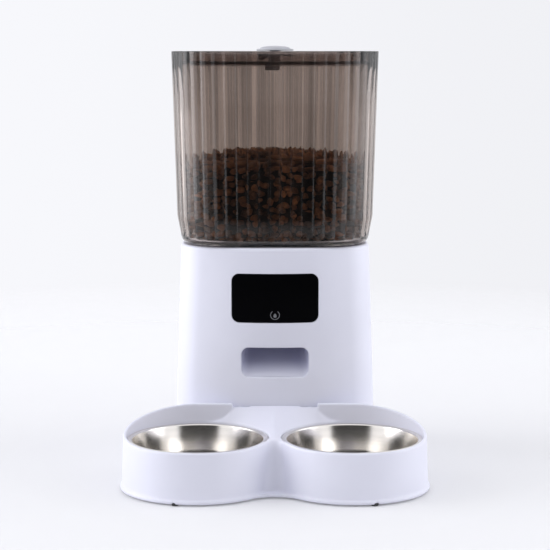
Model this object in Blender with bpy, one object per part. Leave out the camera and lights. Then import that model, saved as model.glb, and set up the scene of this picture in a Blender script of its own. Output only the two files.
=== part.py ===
"""Automatic pet feeder: a clear hopper with a latched lid, a metering housing and a twin bowl tray.

Lengths are in millimetres and become metres when an object is made. The front faces -Y, and the
floor is z = 0. Every fixed piece keeps its origin at the world's, and every moving piece has its
origin on its joint's axis.
"""

import math

import bmesh
import bpy
from mathutils import Matrix, Vector

MM = 0.001
GAP = 0.3  # between pieces that touch

# The hopper, the rotor and the lid's knob share one vertical axis.
AXIS_Y = 66.0
BACK_Y = 156.0
FRONT_Y = -23.2

# Housing
BODY_TOP_Z = 203.8
BODY_BOTTOM_Z = 2.0
BODY_HALF_TOP = 87.0
BODY_HALF_BASE = 92.0
BODY_STRAIGHT_Z = 60.0  # the sides are upright below this, and lean in above it
BODY_WALL = 2.5
BODY_DECK = 3.0
FRONT_R = 150.0
FRONT_CORNER_R = 38.0
BACK_CORNER_R = 30.0

# Openings in the housing's front
DISPLAY_W, DISPLAY_H, DISPLAY_Z, DISPLAY_R = 78.8, 44.8, 158.2, 7.0
OUTLET_W, OUTLET_LOW, OUTLET_HIGH, OUTLET_R = 61.0, 86.0, 113.0, 7.0
DOCK_W, DOCK_LOW, DOCK_HIGH = 52.0, 7.2, 13.8

# Hopper and lid
HOPPER_POWER = 4.0
HOPPER_WALL = 2.5
HOPPER_RIM_HALF, HOPPER_WAIST_HALF = (95.8, 90.0), (91.2, 86.4)
HOPPER_WAIST_Z = 229.0  # the walls lean in more below this
HOPPER_FOOT_LEAN = (0.19, 0.05)  # across and along
HOPPER_FOOT_Z = 204.3
RIM_Z = 380.0
THROAT_R = 45.0
THROAT_BOTTOM = 184.3
LID_SKIRT_Z = 366.4
GROOVE_LOW, GROOVE_HIGH = 367.4, 370.7

# Metering rotor
CHAMBER_R = 57.5
HOUSING_R = 60.0
HOUSING_FLOOR_Z = 133.0
HOUSING_BOTTOM_Z = 130.0
HOUSING_TOP_Z = 178.5
VANES = 6

# Gears, all of one module. The compound gear sits on a slant from the rotor's axis.
MODULE = 1.25
PINION_TEETH, COMPOUND_LARGE, COMPOUND_SMALL, ROTOR_TEETH = 12, 32, 12, 36
TRAIN_ANGLE = math.radians(30.0)
LATCH_MODULE, LATCH_TEETH = 1.0, 10

# Tray and bowls
CUP_X, CUP_Y = 67.6, -88.0
CUP_R_TOP, CUP_R_BASE, FLANGE_R = 64.5, 66.5, 68.0
FLANGE_Z, FLANGE_FILLET = 1.6, 30.0  # its underside stands clear of the floor, on the tray's feet
TRAY_BACK_Y = -23.5
TRAY_WALL = 2.2
DECK_Z = 42.5
DECK_THICK = 2.2
WELL_R = 58.3
NOTCH_HALF = 38.5
CHANNEL_BACK_Z, CHANNEL_LOW_Z = 60.4, 45.6
BOWL_RIM_R, BOWL_RIM_Z, BOWL_DEPTH, BOWL_STEEL = 62.0, 44.7, 36.0, 0.9

BATTERY_R, BATTERY_PITCH = 16.2, 34.0
JACK_X, JACK_Z = 50.0, 22.0
TRAY_TOP_LOW, TRAY_TOP_RISE, TRAY_RISE_RUN = 45.0, 17.5, 128.0


# ---------------------------------------------------------------- materials

def material(name, colour, roughness, metallic=0.0, alpha=1.0):
    made = bpy.data.materials.new(name)
    made.use_nodes = True
    shader = made.node_tree.nodes["Principled BSDF"]
    shader.inputs["Base Color"].default_value = (*colour, 1.0)
    shader.inputs["Roughness"].default_value = roughness
    shader.inputs["Metallic"].default_value = metallic
    shader.inputs["Alpha"].default_value = alpha
    made.diffuse_color = (*colour, alpha)
    return made


def make_materials():
    return {
        "white": material("white_plastic", (0.86, 0.86, 0.89), 0.38),
        "smoke": material("smoke_clear_plastic", (0.20, 0.15, 0.14), 0.12, alpha=0.45),
        "lid": material("lid_smoke_plastic", (0.12, 0.09, 0.09), 0.15, alpha=0.6),
        "display": material("display_gloss", (0.004, 0.004, 0.005), 0.06),
        "steel": material("bowl_steel", (0.72, 0.71, 0.70), 0.22, 1.0),
        "rubber": material("foot_rubber", (0.05, 0.05, 0.05), 0.8),
        "seal": material("seal_rubber", (0.06, 0.05, 0.05), 0.6),
        "knob": material("knob_plastic", (0.66, 0.66, 0.68), 0.4),
        "kibble": material("kibble", (0.10, 0.05, 0.03), 0.75),
        "grey": material("inner_grey_plastic", (0.42, 0.43, 0.46), 0.5),
        "rotor": material("rotor_plastic", (0.55, 0.57, 0.60), 0.45),
        "gear": material("gear_acetal", (0.83, 0.82, 0.78), 0.4),
        "shaft": material("shaft_steel", (0.62, 0.62, 0.63), 0.25, 1.0),
        "motor": material("motor_can_steel", (0.50, 0.50, 0.52), 0.35, 1.0),
        "board": material("circuit_board", (0.02, 0.16, 0.07), 0.45),
        "led": material("led_module", (0.03, 0.03, 0.035), 0.3),
        "cell": material("cell_jacket", (0.08, 0.10, 0.16), 0.35),
        "black": material("black_plastic", (0.02, 0.02, 0.02), 0.45),
    }


# ---------------------------------------------------------------- outlines

def arc(cx, cy, r, start, end, steps):
    """Points along an arc from start to end, in degrees, both ends included."""
    angles = [math.radians(start + (end - start) * i / steps) for i in range(steps + 1)]
    return [(cx + r * math.cos(a), cy + r * math.sin(a)) for a in angles]


def circle(r, steps, cx=0.0, cy=0.0):
    return arc(cx, cy, r, 0.0, 360.0 * (steps - 1) / steps, steps - 1)


def rounded_box(x0, y0, x1, y1, r, steps=3):
    return (
        arc(x1 - r, y0 + r, r, -90, 0, steps)
        + arc(x1 - r, y1 - r, r, 0, 90, steps)
        + arc(x0 + r, y1 - r, r, 90, 180, steps)
        + arc(x0 + r, y0 + r, r, 180, 270, steps)
    )


def squircle(half_x, half_y, steps=40, cy=AXIS_Y, power=HOPPER_POWER):
    """A superellipse with its points spread evenly by angle."""
    found = []
    for i in range(steps):
        a = 2 * math.pi * (i + 0.5) / steps
        c, s = math.cos(a), math.sin(a)
        r = (abs(c / half_x) ** power + abs(s / half_y) ** power) ** (-1 / power)
        found.append((r * c, cy + r * s))
    return found


def body_outline(half, inset=0.0):
    """The housing's plan: a shallow arc in front, tangent to its round corners, and a flat back."""
    half -= inset
    front_r, corner, back = FRONT_R - inset, FRONT_CORNER_R - inset, BACK_CORNER_R - inset
    centre_y = FRONT_Y + FRONT_R
    corner_x = half - corner
    corner_y = centre_y - math.sqrt((front_r - corner) ** 2 - corner_x**2)
    tip = math.degrees(math.asin(corner_x / (front_r - corner)))
    back_y = BACK_Y - inset
    return (
        arc(0, centre_y, front_r, -90 - tip, -90 + tip, 10)
        + arc(corner_x, corner_y, corner, -90 + tip, 0, 5)[1:]
        + arc(half - back, back_y - back, back, 0, 90, 5)
        + arc(back - half, back_y - back, back, 90, 180, 5)
        + arc(-corner_x, corner_y, corner, 180, 270 - tip, 5)[:-1]
    )


def body_half(z):
    if z <= BODY_STRAIGHT_Z:
        return BODY_HALF_BASE
    lean = (z - BODY_STRAIGHT_Z) / (BODY_TOP_Z - BODY_STRAIGHT_Z)
    return BODY_HALF_BASE + (BODY_HALF_TOP - BODY_HALF_BASE) * lean


def front_y(x, depth=0.0):
    """The housing's front face at x, or a surface that lies depth behind it."""
    r = FRONT_R - depth
    return FRONT_Y + FRONT_R - math.sqrt(r * r - x * x)


def tray_outline(r, fillet, back=TRAY_BACK_Y):
    """Two cups joined by a concave fillet in front and a straight wall behind."""
    valley_y = CUP_Y - math.sqrt((r + fillet) ** 2 - CUP_X**2)
    start = math.degrees(math.atan2(valley_y - CUP_Y, -CUP_X)) + 360
    end = math.degrees(math.asin((back - CUP_Y) / r)) + 360
    lean = start - 180
    right = arc(CUP_X, CUP_Y, r, start, end, 24)
    left = [(-x, y) for x, y in reversed(right)]
    valley = arc(0, valley_y, fillet, 180 - lean, lean, 6)[1:-1]
    back_line = [(x, back) for x in (NOTCH_HALF, 0.0, -NOTCH_HALF)]
    return right + back_line + left + valley


def tray_top(y):
    t = (y - (CUP_Y - CUP_R_TOP)) / TRAY_RISE_RUN
    return TRAY_TOP_LOW + TRAY_TOP_RISE * max(0.0, t) ** 2


def gear_outline(module, teeth, backlash=0.12, phase=0.0, points=1):
    """Teeth with involute flanks at 20 degrees, thinned by the backlash, in degrees from phase."""
    pitch = module * teeth / 2
    base = pitch * math.cos(math.radians(20))
    tip, root = pitch + 0.9 * module, pitch - 1.2 * module
    thick = math.pi / (2 * teeth) - backlash / (2 * pitch)

    def half_angle(r):
        def inv(radius):
            a = math.acos(min(1.0, base / radius))
            return math.tan(a) - a

        return thick + inv(pitch) - inv(max(r, base))

    flank = [root] + [max(base, root) + (tip - max(base, root)) * i / points for i in range(points + 1)]
    found = []
    for tooth in range(teeth):
        mid = math.radians(phase) + 2 * math.pi * tooth / teeth
        for side, radii in ((-1, flank), (1, list(reversed(flank)))):
            found += [(r * math.cos(mid + side * half_angle(r)), r * math.sin(mid + side * half_angle(r)))
                      for r in radii]
    return found


# ---------------------------------------------------------------- meshes

def at_height(outline, z):
    return [(x, y, z) for x, y in outline]


def loft(rings, closed=False):
    """A solid through rings of equal length: capped at both ends, or running round when closed."""
    mesh = bmesh.new()
    rows = [[mesh.verts.new(point) for point in ring] for ring in rings]
    count = len(rows[0])
    pairs = list(zip(rows, rows[1:] + rows[:1])) if closed else list(zip(rows, rows[1:]))
    for low, high in pairs:
        for i in range(count):
            j = (i + 1) % count
            mesh.faces.new((low[i], low[j], high[j], high[i]))
    if not closed:
        mesh.faces.new(list(reversed(rows[0])))
        mesh.faces.new(rows[-1])
    bmesh.ops.recalc_face_normals(mesh, faces=mesh.faces)
    return mesh


def prism(outline, low, high):
    return loft([at_height(outline, low), at_height(outline, high)])


def stacked(levels):
    """A solid whose levels are (outline, z), such as a disc with a smaller disc above it."""
    return loft([at_height(outline, z) for outline, z in levels])


def turned(profile, steps=28, cx=0.0, cy=0.0, closed=False):
    """A round solid about a vertical axis, from (radius, z) points."""
    return loft([at_height(circle(r, steps, cx, cy), z) for r, z in profile], closed)


def ring_solid(outer, inner, low, high):
    rings = [at_height(inner, low), at_height(outer, low), at_height(outer, high), at_height(inner, high)]
    return loft(rings, closed=True)


def laid_along_y(mesh, place):
    """A mesh made along Z, turned to run along +Y from a place."""
    turn = Matrix.Rotation(math.radians(-90), 3, "X")
    bmesh.ops.rotate(mesh, verts=mesh.verts, cent=(0, 0, 0), matrix=turn)
    bmesh.ops.translate(mesh, verts=mesh.verts, vec=place)
    return mesh


def rod(r, steps, x, start_y, end_y, z):
    return laid_along_y(prism(circle(r, steps), 0, end_y - start_y), (x, start_y, z))


def add(name, mesh, finish, origin=(0.0, 0.0, 0.0), smooth=35):
    """An object made from a mesh in millimetres, with its origin at a place in millimetres."""
    bmesh.ops.translate(mesh, verts=mesh.verts, vec=-Vector(origin))
    bmesh.ops.scale(mesh, verts=mesh.verts, vec=(MM, MM, MM))
    data = bpy.data.meshes.new(name)
    mesh.to_mesh(data)
    mesh.free()
    data.shade_smooth()
    data.set_sharp_from_angle(angle=math.radians(smooth))
    made = bpy.data.objects.new(name, data)
    made.location = Vector(origin) * MM
    bpy.context.collection.objects.link(made)
    if finish:
        data.materials.append(finish)
    return made


def boolean(target, mesh, operation="DIFFERENCE"):
    """Cuts a helper out of the target, or joins it on."""
    helper = add(f"{target.name}_{operation.lower()}_{len(target.modifiers)}", mesh, None)
    helper.hide_render = True
    helper.display_type = "WIRE"
    modifier = target.modifiers.new(helper.name, "BOOLEAN")
    modifier.operation = operation
    modifier.object = helper
    return target


# ---------------------------------------------------------------- housing

def front_cutter(outline_xz):
    """An outline in the front view, pushed through the housing's front wall only."""
    return loft([[(x, y, z) for x, z in outline_xz] for y in (FRONT_Y - 8, FRONT_Y + 16)])


def display_outline(gap=0.0):
    """The display's opening in the front, or the window that fills it when smaller by the gap."""
    half_w, half_h = DISPLAY_W / 2 - gap, DISPLAY_H / 2 - gap
    return rounded_box(-half_w, DISPLAY_Z - half_h, half_w, DISPLAY_Z + half_h, DISPLAY_R - gap, 4)


def body_screw_places():
    return [(side * 85.0, y) for side in (-1, 1) for y in (26.0, 124.0)]


def body_shell(mats):
    wall, deck = BODY_WALL, BODY_DECK
    inner_levels = (BODY_TOP_Z - deck, BODY_STRAIGHT_Z, BODY_BOTTOM_Z)
    rings = [at_height(body_outline(body_half(z), wall), z) for z in inner_levels]
    rings += [at_height(body_outline(body_half(z)), z) for z in (BODY_BOTTOM_Z, BODY_STRAIGHT_Z)]
    for inset, drop in ((0.0, 3.0), (0.9, 0.9), (3.0, 0.0)):
        rings.append(at_height(body_outline(body_half(BODY_TOP_Z), inset), BODY_TOP_Z - drop))
    shell = add("body_shell", loft(rings), mats["white"])
    for x, y in body_screw_places():
        boolean(shell, prism(circle(5.5, 16, x, y), 8.0, 34.0), "UNION")
        boolean(shell, prism(circle(1.8, 12, x, y), 0.0, 28.0))
    boolean(shell, prism(circle(THROAT_R + 0.6, 40, 0, AXIS_Y), 190, 215))
    outlet = rounded_box(-OUTLET_W / 2, OUTLET_LOW, OUTLET_W / 2, OUTLET_HIGH, OUTLET_R)
    dock = rounded_box(-DOCK_W / 2, DOCK_LOW, DOCK_W / 2, DOCK_HIGH, 1.0, 1)
    for opening in (display_outline(), outlet, dock):
        boolean(shell, front_cutter(opening))
    boolean(shell, rod(4.8, 20, JACK_X, 148.0, 160.0, JACK_Z))


def base(mats):
    floor_outline = body_outline(BODY_HALF_BASE, BODY_WALL + 0.4)
    plate = add("base_plate", prism(floor_outline, 2.3, 5.3), mats["grey"])
    boolean(plate, prism(rounded_box(-53, 74, 53, 136, 3), 0, 10))
    for number, (x, y) in enumerate(body_screw_places(), 1):
        boolean(plate, stacked([(circle(3.9, 16, x, y), 1.0), (circle(3.9, 16, x, y), 3.7)]))
        boolean(plate, prism(circle(1.9, 12, x, y), 1.0, 7.0))
        head = turned([(3.5, 2.4), (3.5, 3.4), (1.5, 3.4), (1.5, 18.0)], 14, x, y)
        screw = add(f"base_screw_{number}", head, mats["shaft"])
        boolean(screw, prism(rounded_box(x - 2.4, y - 0.4, x + 2.4, y + 0.4, 0.1, 1), 2.0, 3.0))
    for number, (x, y) in enumerate([(-66, 4), (66, 4), (-66, 143), (66, 143)], 1):
        add(f"body_foot_{number}", turned([(8.2, 0.0), (9.0, 0.8), (9.0, 2.0)], 20, x, y), mats["rubber"])
    door = add("battery_door", prism(rounded_box(-52.6, 74.4, 52.6, 135.6, 2.6), 2.3, 4.7), mats["grey"],
               origin=(0, 105, 2.3))
    boolean(door, prism(rounded_box(-10, 78, 10, 83, 2.0), 1.5, 3.4))


def batteries(mats):
    box = [at_height(rounded_box(-53.4, 72.6, 53.4, 137.4, 2), z) for z in (41.4, 5.6)]
    box += [at_height(rounded_box(-55, 71, 55, 139, 3.6), z) for z in (5.6, 43.0)]
    add("battery_box", loft(box), mats["grey"])
    for number in (1, 2, 3):
        cell = turned([(15.2, 0), (BATTERY_R, 1), (BATTERY_R, 58), (15.2, 59), (5, 59), (5, 60.5)], 20)
        place = ((number - 2) * BATTERY_PITCH, 75.0, 23.6)
        add(f"battery_{number}", laid_along_y(cell, place), mats["cell"])


def chute_ring(wall, low_z, high_z, y_at):
    """One rounded cross-section of the outlet chute, wall further out than its food space."""
    half = OUTLET_W / 2 - 0.6 + wall
    section = rounded_box(-half, low_z - wall, half, high_z + wall, 4.5 + wall, 2)
    return [(x, y_at(x, z), z) for x, z in section]


def outlet_chute(mats):
    """A sloping duct from the housing's drop hole to the recess in the front."""
    def inner_face(x, z):
        return front_y(x, BODY_WALL + 0.4)

    def mouth(wall):
        return chute_ring(wall, OUTLET_LOW + 0.8, OUTLET_HIGH - 0.8, inner_face)

    def top(wall):
        half_x, low_y, high_y = 24.0 + wall, 11.5 - wall, 36.0 + wall
        section = rounded_box(-half_x, -high_y, half_x, -low_y, 4.5 + wall, 2)
        return [(x, -y, HOUSING_BOTTOM_Z - 0.4) for x, y in section]

    wall = 1.6
    rings = [mouth(0.0), mouth(wall), top(wall), top(0.0)]
    add("outlet_chute", loft(rings, closed=True), mats["grey"])


def display(mats):
    xs = [DISPLAY_W * 0.55 * i / 8 for i in range(-8, 9)]
    band = [(x, front_y(x)) for x in xs] + [(x, front_y(x, 2.0)) for x in reversed(xs)]
    window = add("display_window", prism(band, DISPLAY_Z - 30, DISPLAY_Z + 30), mats["display"])
    boolean(window, front_cutter(display_outline(GAP)), "INTERSECT")
    module = loft([at_height([(-22, y), (22, y), (22, y + 2.6), (-22, y + 2.6)], z)
                   for y, z in ((-18.6, 148), (-18.6, 172))])
    add("led_module", module, mats["led"])
    board = prism(rounded_box(-35, -15.6, 35, -14.0, 0.6, 1), 140, 178)
    add("display_board", board, mats["board"])


# ---------------------------------------------------------------- metering

def metering_housing(mats):
    # From the chamber's floor up the wall, over the rim and down the outside.
    profile = [(CHAMBER_R, HOUSING_FLOOR_Z), (CHAMBER_R, HOUSING_TOP_Z)]
    profile += [(HOUSING_R, HOUSING_TOP_Z), (HOUSING_R, HOUSING_BOTTOM_Z)]
    housing = add("metering_housing", turned(profile, 44, 0, AXIS_Y), mats["grey"])
    boolean(housing, prism(circle(7.0, 20, 0, AXIS_Y), 120, 140))
    boolean(housing, prism(rounded_box(-24, 12.5, 24, 35.5, 4), 120, 140))
    outside, inside = circle(6.7, 20, 0, AXIS_Y), circle(4.4, 20, 0, AXIS_Y)
    add("shaft_bush", ring_solid(outside, inside, HOUSING_BOTTOM_Z, HOUSING_FLOOR_Z), mats["shaft"])
    cover = add("housing_cover", prism(circle(HOUSING_R, 44, 0, AXIS_Y), 178.8, 181.6), mats["grey"])
    boolean(cover, prism(arc(0, AXIS_Y, 44, -20, 200, 14), 170, 190))


def rotor(mats):
    origin = (0, AXIS_Y, HOUSING_FLOOR_Z)
    outline = []
    half_vane, hub, tip = 1.4, 11.0, 55.0
    for vane in range(VANES):
        mid = 360.0 / VANES * vane
        side_hub = math.degrees(math.asin(half_vane / hub))
        side_tip = math.degrees(math.asin(half_vane / tip))
        outline += arc(0, AXIS_Y, tip, mid - side_tip, mid + side_tip, 2)
        outline += arc(0, AXIS_Y, hub, mid + side_hub, mid + 360.0 / VANES - side_hub, 3)
    wheel = add("rotor", prism(outline, 134.0, 175.5), mats["rotor"], origin)
    boolean(wheel, prism(circle(4.3, 20, 0, AXIS_Y), 120, 190))
    add("rotor_shaft", turned([(3.4, 112.6), (4.0, 113.2), (4.0, 176.4), (3.4, 177.0)], 20, 0, AXIS_Y),
        mats["shaft"], origin)
    wheel_gear = prism([(x, y + AXIS_Y) for x, y in gear_outline(MODULE, ROTOR_TEETH)], 114.4, 121.4)
    gear = add("rotor_gear", wheel_gear, mats["gear"], origin)
    boolean(gear, prism(circle(4.3, 20, 0, AXIS_Y), 100, 140))


def train_places():
    """The compound gear's and the motor's axes."""
    first = MODULE * (ROTOR_TEETH + COMPOUND_SMALL) / 2
    second = MODULE * (COMPOUND_LARGE + PINION_TEETH) / 2
    x = first * math.cos(TRAIN_ANGLE)
    y = AXIS_Y + first * math.sin(TRAIN_ANGLE)
    return (x, y), (x + second, y)


def meshed_phase(angle, followed_teeth, followed_phase, teeth):
    """The phase, in degrees, that puts a gap of one gear on a tooth of the other at this angle."""
    into = (angle - followed_phase) / (360.0 / followed_teeth) % 1.0
    return angle + 180.0 + (0.5 + into) * 360.0 / teeth


def gear_train(mats):
    (cx, cy), (mx, my) = train_places()
    slant = math.degrees(TRAIN_ANGLE)
    small_phase = meshed_phase(slant, ROTOR_TEETH, 0.0, COMPOUND_SMALL)
    small = [(x + cx, y + cy) for x, y in gear_outline(MODULE, COMPOUND_SMALL, phase=small_phase)]
    large = [(x + cx, y + cy) for x, y in gear_outline(MODULE, COMPOUND_LARGE)]
    compound = add("compound_gear", prism(large, 102.6, 108.6), mats["gear"], (cx, cy, 102.6))
    boolean(compound, prism(small, 107.0, 122.6), "UNION")
    boolean(compound, prism(circle(2.3, 16, cx, cy), 90, 130))
    add("compound_axle", turned([(2.0, 96.6), (2.0, 125.1)], 16, cx, cy), mats["shaft"])
    pinion_phase = meshed_phase(0.0, COMPOUND_LARGE, 0.0, PINION_TEETH)
    pinion = [(x + mx, y + my) for x, y in gear_outline(MODULE, PINION_TEETH, phase=pinion_phase)]
    motor_pinion = add("motor_pinion", prism(pinion, 101.6, 109.6), mats["gear"], (mx, my, 101.6))
    boolean(motor_pinion, prism(circle(1.8, 14, mx, my), 90, 120))
    add("motor_shaft", turned([(1.5, 92.5), (1.5, 110.2)], 14, mx, my), mats["shaft"], (mx, my, 92.5))
    can = [(12.0, 54.0), (13.5, 55.5), (13.5, 91.0), (4.0, 91.0), (4.0, 92.2)]
    add("motor_can", turned(can, 28, mx, my), mats["motor"])


def gearbox(mats):
    (cx, cy), (mx, my) = train_places()
    outer = rounded_box(-28.0, 39.6, mx + 14.5, 112.0, 8, 4)
    inner = rounded_box(-26.0, 41.6, mx + 12.5, 110.0, 6, 4)
    case = [at_height(inner, 96.2), at_height(inner, 125.0), at_height(outer, 125.0), at_height(outer, 94.2)]
    box = add("gearbox_base", loft(case), mats["black"])
    boolean(box, prism(circle(3.0, 16, mx, my), 90, 100))
    cover = add("gearbox_cover", prism(outer, 125.4, 127.5), mats["black"])
    boolean(cover, prism(circle(6.0, 20, 0, AXIS_Y), 120, 135))
    for number, (x, y) in enumerate([(-20.0, 103.0), (mx + 6.0, 103.0), (mx + 6.0, 49.0)], 1):
        boolean(box, prism(circle(3.4, 12, x, y), 95.4, 125.0), "UNION")
        boolean(box, prism(circle(1.6, 10, x, y), 110, 130))
        boolean(cover, prism(circle(1.6, 10, x, y), 120, 135))
        screw = turned([(1.3, 113.0), (1.3, 127.8), (2.6, 127.8), (2.6, 129.3)], 12, x, y)
        add(f"gearbox_screw_{number}", screw, mats["shaft"])


def electronics(mats):
    add("main_board", prism(rounded_box(-38, 146.5, 38, 148.1, 0.6, 1), 62, 124), mats["board"])
    block = prism(rounded_box(JACK_X - 7, 140.5, JACK_X + 7, 152.9, 0.6, 1), JACK_Z - 6, JACK_Z + 6)
    jack = add("dc_jack", block, mats["black"])
    boolean(jack, rod(4.4, 20, JACK_X, 151.6, 155.8, JACK_Z), "UNION")
    boolean(jack, rod(2.9, 16, JACK_X, 146.5, 158.5, JACK_Z))
    boolean(jack, rod(0.8, 10, JACK_X, 144.5, 155.0, JACK_Z), "UNION")


# ---------------------------------------------------------------- hopper and lid

def hopper_half(z):
    """The hopper's outer half width and half depth at a height."""
    rise = max(0.0, z - HOPPER_WAIST_Z) / (RIM_Z - HOPPER_WAIST_Z)
    drop = max(0.0, HOPPER_WAIST_Z - z)
    shape = zip(HOPPER_WAIST_HALF, HOPPER_RIM_HALF, HOPPER_FOOT_LEAN)
    return [waist + (rim - waist) * rise - lean * drop for waist, rim, lean in shape]


def hopper_ring(z, inset=0.0):
    half_x, half_y = hopper_half(z)
    return at_height(squircle(half_x - inset, half_y - inset), z)


def hopper(mats):
    rings = [at_height(circle_like(THROAT_R - 2.4), z) for z in (THROAT_BOTTOM, HOPPER_FOOT_Z + 0.8)]
    rings.append(at_height(squircle(79.0, 74.4), 209.4))
    rings.append(hopper_ring(213.4, HOPPER_WALL + 2.0))
    rings += [hopper_ring(z, HOPPER_WALL) for z in (219.4, HOPPER_WAIST_Z, RIM_Z)]
    rings += [hopper_ring(z) for z in (RIM_Z, HOPPER_WAIST_Z, 211.0)]
    for inset, rise in ((0.9, 2.3), (2.6, 0.6), (4.6, 0.0)):
        rings.append(hopper_ring(HOPPER_FOOT_Z + rise, inset))
    rings.append(at_height(circle_like(THROAT_R), HOPPER_FOOT_Z))
    rings.append(at_height(circle_like(THROAT_R), THROAT_BOTTOM))
    add("hopper", loft(rings, closed=True), mats["smoke"], (0, AXIS_Y, BODY_TOP_Z))


def circle_like(r):
    """A circle with as many points as a squircle, so that one can be lofted to the other."""
    return squircle(r, r, power=2.0)


def kibble_fill(mats):
    clear = HOPPER_WALL + 0.8
    rings = [at_height(squircle(76.0, 71.4), 210.8)]
    rings.append(hopper_ring(215.4, clear + 1.6))
    rings += [hopper_ring(z, clear) for z in (220.9, HOPPER_WAIST_Z, 279.0)]
    for share, z in ((0.8, 284.0), (0.5, 289.0), (0.2, 292.0)):
        rings.append(at_height(squircle(86.0 * share, 82.0 * share, power=2 + 2 * share), z))
    add("kibble_fill", loft(rings), mats["kibble"], (0, AXIS_Y, BODY_TOP_Z))


def lid_ring(z, inset=0.0):
    return hopper_ring(z, HOPPER_WALL + 0.35 + inset)


def lid(mats):
    origin = (0, AXIS_Y, RIM_Z)
    rings = [lid_ring(377.3, 2.0), lid_ring(LID_SKIRT_Z, 2.0), lid_ring(LID_SKIRT_Z, 1.6)]
    # The skirt steps in to seat the gasket, and the gasket's outside lines up with the lid's edge.
    rings += [lid_ring(LID_SKIRT_Z + 0.2, 0.2), lid_ring(GROOVE_LOW, 0.2), lid_ring(GROOVE_LOW, 1.2)]
    rings += [lid_ring(GROOVE_HIGH, 1.2), lid_ring(GROOVE_HIGH, 0.2), lid_ring(379.2, 0.0)]
    rings.append(lid_ring(RIM_Z, 0.8))
    plate = add("lid", loft(rings), mats["lid"], origin)
    boolean(plate, prism(circle(5.4, 20, 0, AXIS_Y), 370, 385))
    low, high = GROOVE_LOW + GAP, GROOVE_HIGH - GAP
    gasket = [lid_ring(low, 0.9), lid_ring(low, 0.1), lid_ring(high, 0.1), lid_ring(high, 0.9)]
    add("lid_gasket", loft(gasket, closed=True), mats["seal"], origin)
    outer = [(-16, 360.8), (16, 360.8), (16, 377.0), (-16, 377.0)]
    inner = [(-13.6, 362.5), (13.6, 362.5), (13.6, 375.2), (-13.6, 375.2)]
    ends = (AXIS_Y - 33, AXIS_Y + 33)
    tube = [[(x, y, z) for x, z in shape] for shape, y in
            ((outer, ends[0]), (outer, ends[1]), (inner, ends[1]), (inner, ends[0]))]
    latch_cover = add("latch_cover", loft(tube, closed=True), mats["grey"], origin)
    boolean(latch_cover, prism(circle(5.4, 20, 0, AXIS_Y), 373, 380))


def knob(mats):
    origin = (0, AXIS_Y, RIM_Z)
    profile = [(2.2, 363.2), (2.2, 371.4), (4.9, 371.4), (4.9, 380.4), (17.5, 380.4), (17.2, 382.2),
               (13.6, 382.8), (12.4, 384.4), (9.0, 385.0)]
    add("lid_knob", turned(profile, 28, 0, AXIS_Y), mats["knob"], origin)
    # A tooth gap faces each rack at rest.
    teeth = gear_outline(LATCH_MODULE, LATCH_TEETH, backlash=0.3, phase=18.0)
    placed = [(x, y + AXIS_Y) for x, y in teeth]
    pinion = add("latch_pinion", prism(placed, 363.0, 367.0), mats["gear"], origin)
    boolean(pinion, prism(circle(2.5, 14, 0, AXIS_Y), 350, 380))


def rack_teeth(pitch_x, first, last):
    """The rack's edge from its first tooth to its last, with a tooth centred on 0. Teeth point to +X."""
    pitch = math.pi * LATCH_MODULE
    high, low = pitch_x + 0.8 * LATCH_MODULE, pitch_x - 1.25 * LATCH_MODULE
    found = []
    for tooth in range(first, last + 1):
        mid = tooth * pitch
        found += [(low, mid - 1.35), (high, mid - 0.36), (high, mid + 0.36), (low, mid + 1.35)]
    return found


def latch_bolts(mats):
    """Two racks that the pinion draws in together: the rear one is the front one turned half round."""
    pitch_x = -LATCH_MODULE * LATCH_TEETH / 2
    inner_wall = hopper_half(365.0)[1] - HOPPER_WALL
    nose = -(inner_wall - 0.6)
    bolt = [(-13.0, -45.0), (-9.2, -49.0), (-9.2, nose), (3.3, nose), (3.3, -49.0), (-0.4, -45.0)]
    bolt += [(pitch_x - 1.25, -38.0)] + rack_teeth(pitch_x, -4, 1)
    bolt += [(pitch_x - 1.25, 7.0), (-13.0, 7.0)]
    for name, side in (("front", 1), ("rear", -1)):
        outline = [(side * x, side * y + AXIS_Y) for x, y in bolt]
        add(f"latch_bolt_{name}", prism(outline, 362.9, 366.4), mats["black"], (0, AXIS_Y, RIM_Z))


# ---------------------------------------------------------------- tray and bowls

def tray_ring(r, fillet, z, back=TRAY_BACK_Y):
    return at_height(tray_outline(r, fillet, back), z)


def tray_rim_ring(inset, drop=0.0):
    outline = tray_outline(CUP_R_TOP - inset, 6.0 + inset, TRAY_BACK_Y - inset)
    return [(x, y, tray_top(y) - drop) for x, y in outline]


def tray_shell():
    inner_back = TRAY_BACK_Y - TRAY_WALL
    deck_under = DECK_Z - DECK_THICK
    rings = [tray_ring(CUP_R_TOP - TRAY_WALL, 8.0, deck_under, inner_back)]
    rings.append(tray_ring(CUP_R_TOP - TRAY_WALL + 0.8, 9.0, 5.2, inner_back))
    rings.append(tray_ring(60.2, 16.0, 4.6, inner_back - 4))
    rings.append(tray_ring(60.2, 16.0, FLANGE_Z, inner_back - 4))
    rings.append(tray_ring(FLANGE_R, FLANGE_FILLET, FLANGE_Z))
    rings.append(tray_ring(FLANGE_R, FLANGE_FILLET, 3.6))
    rings.append(tray_ring(CUP_R_BASE, 15.0, 4.6))
    rings.append(tray_rim_ring(0.0, 0.8))
    rings.append(tray_rim_ring(0.6))
    rings.append(tray_rim_ring(TRAY_WALL - 0.6))
    rings.append(tray_rim_ring(TRAY_WALL, 0.8))
    rings.append(tray_ring(CUP_R_TOP - TRAY_WALL, 8.2, DECK_Z, inner_back))
    return loft(rings)


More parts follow.
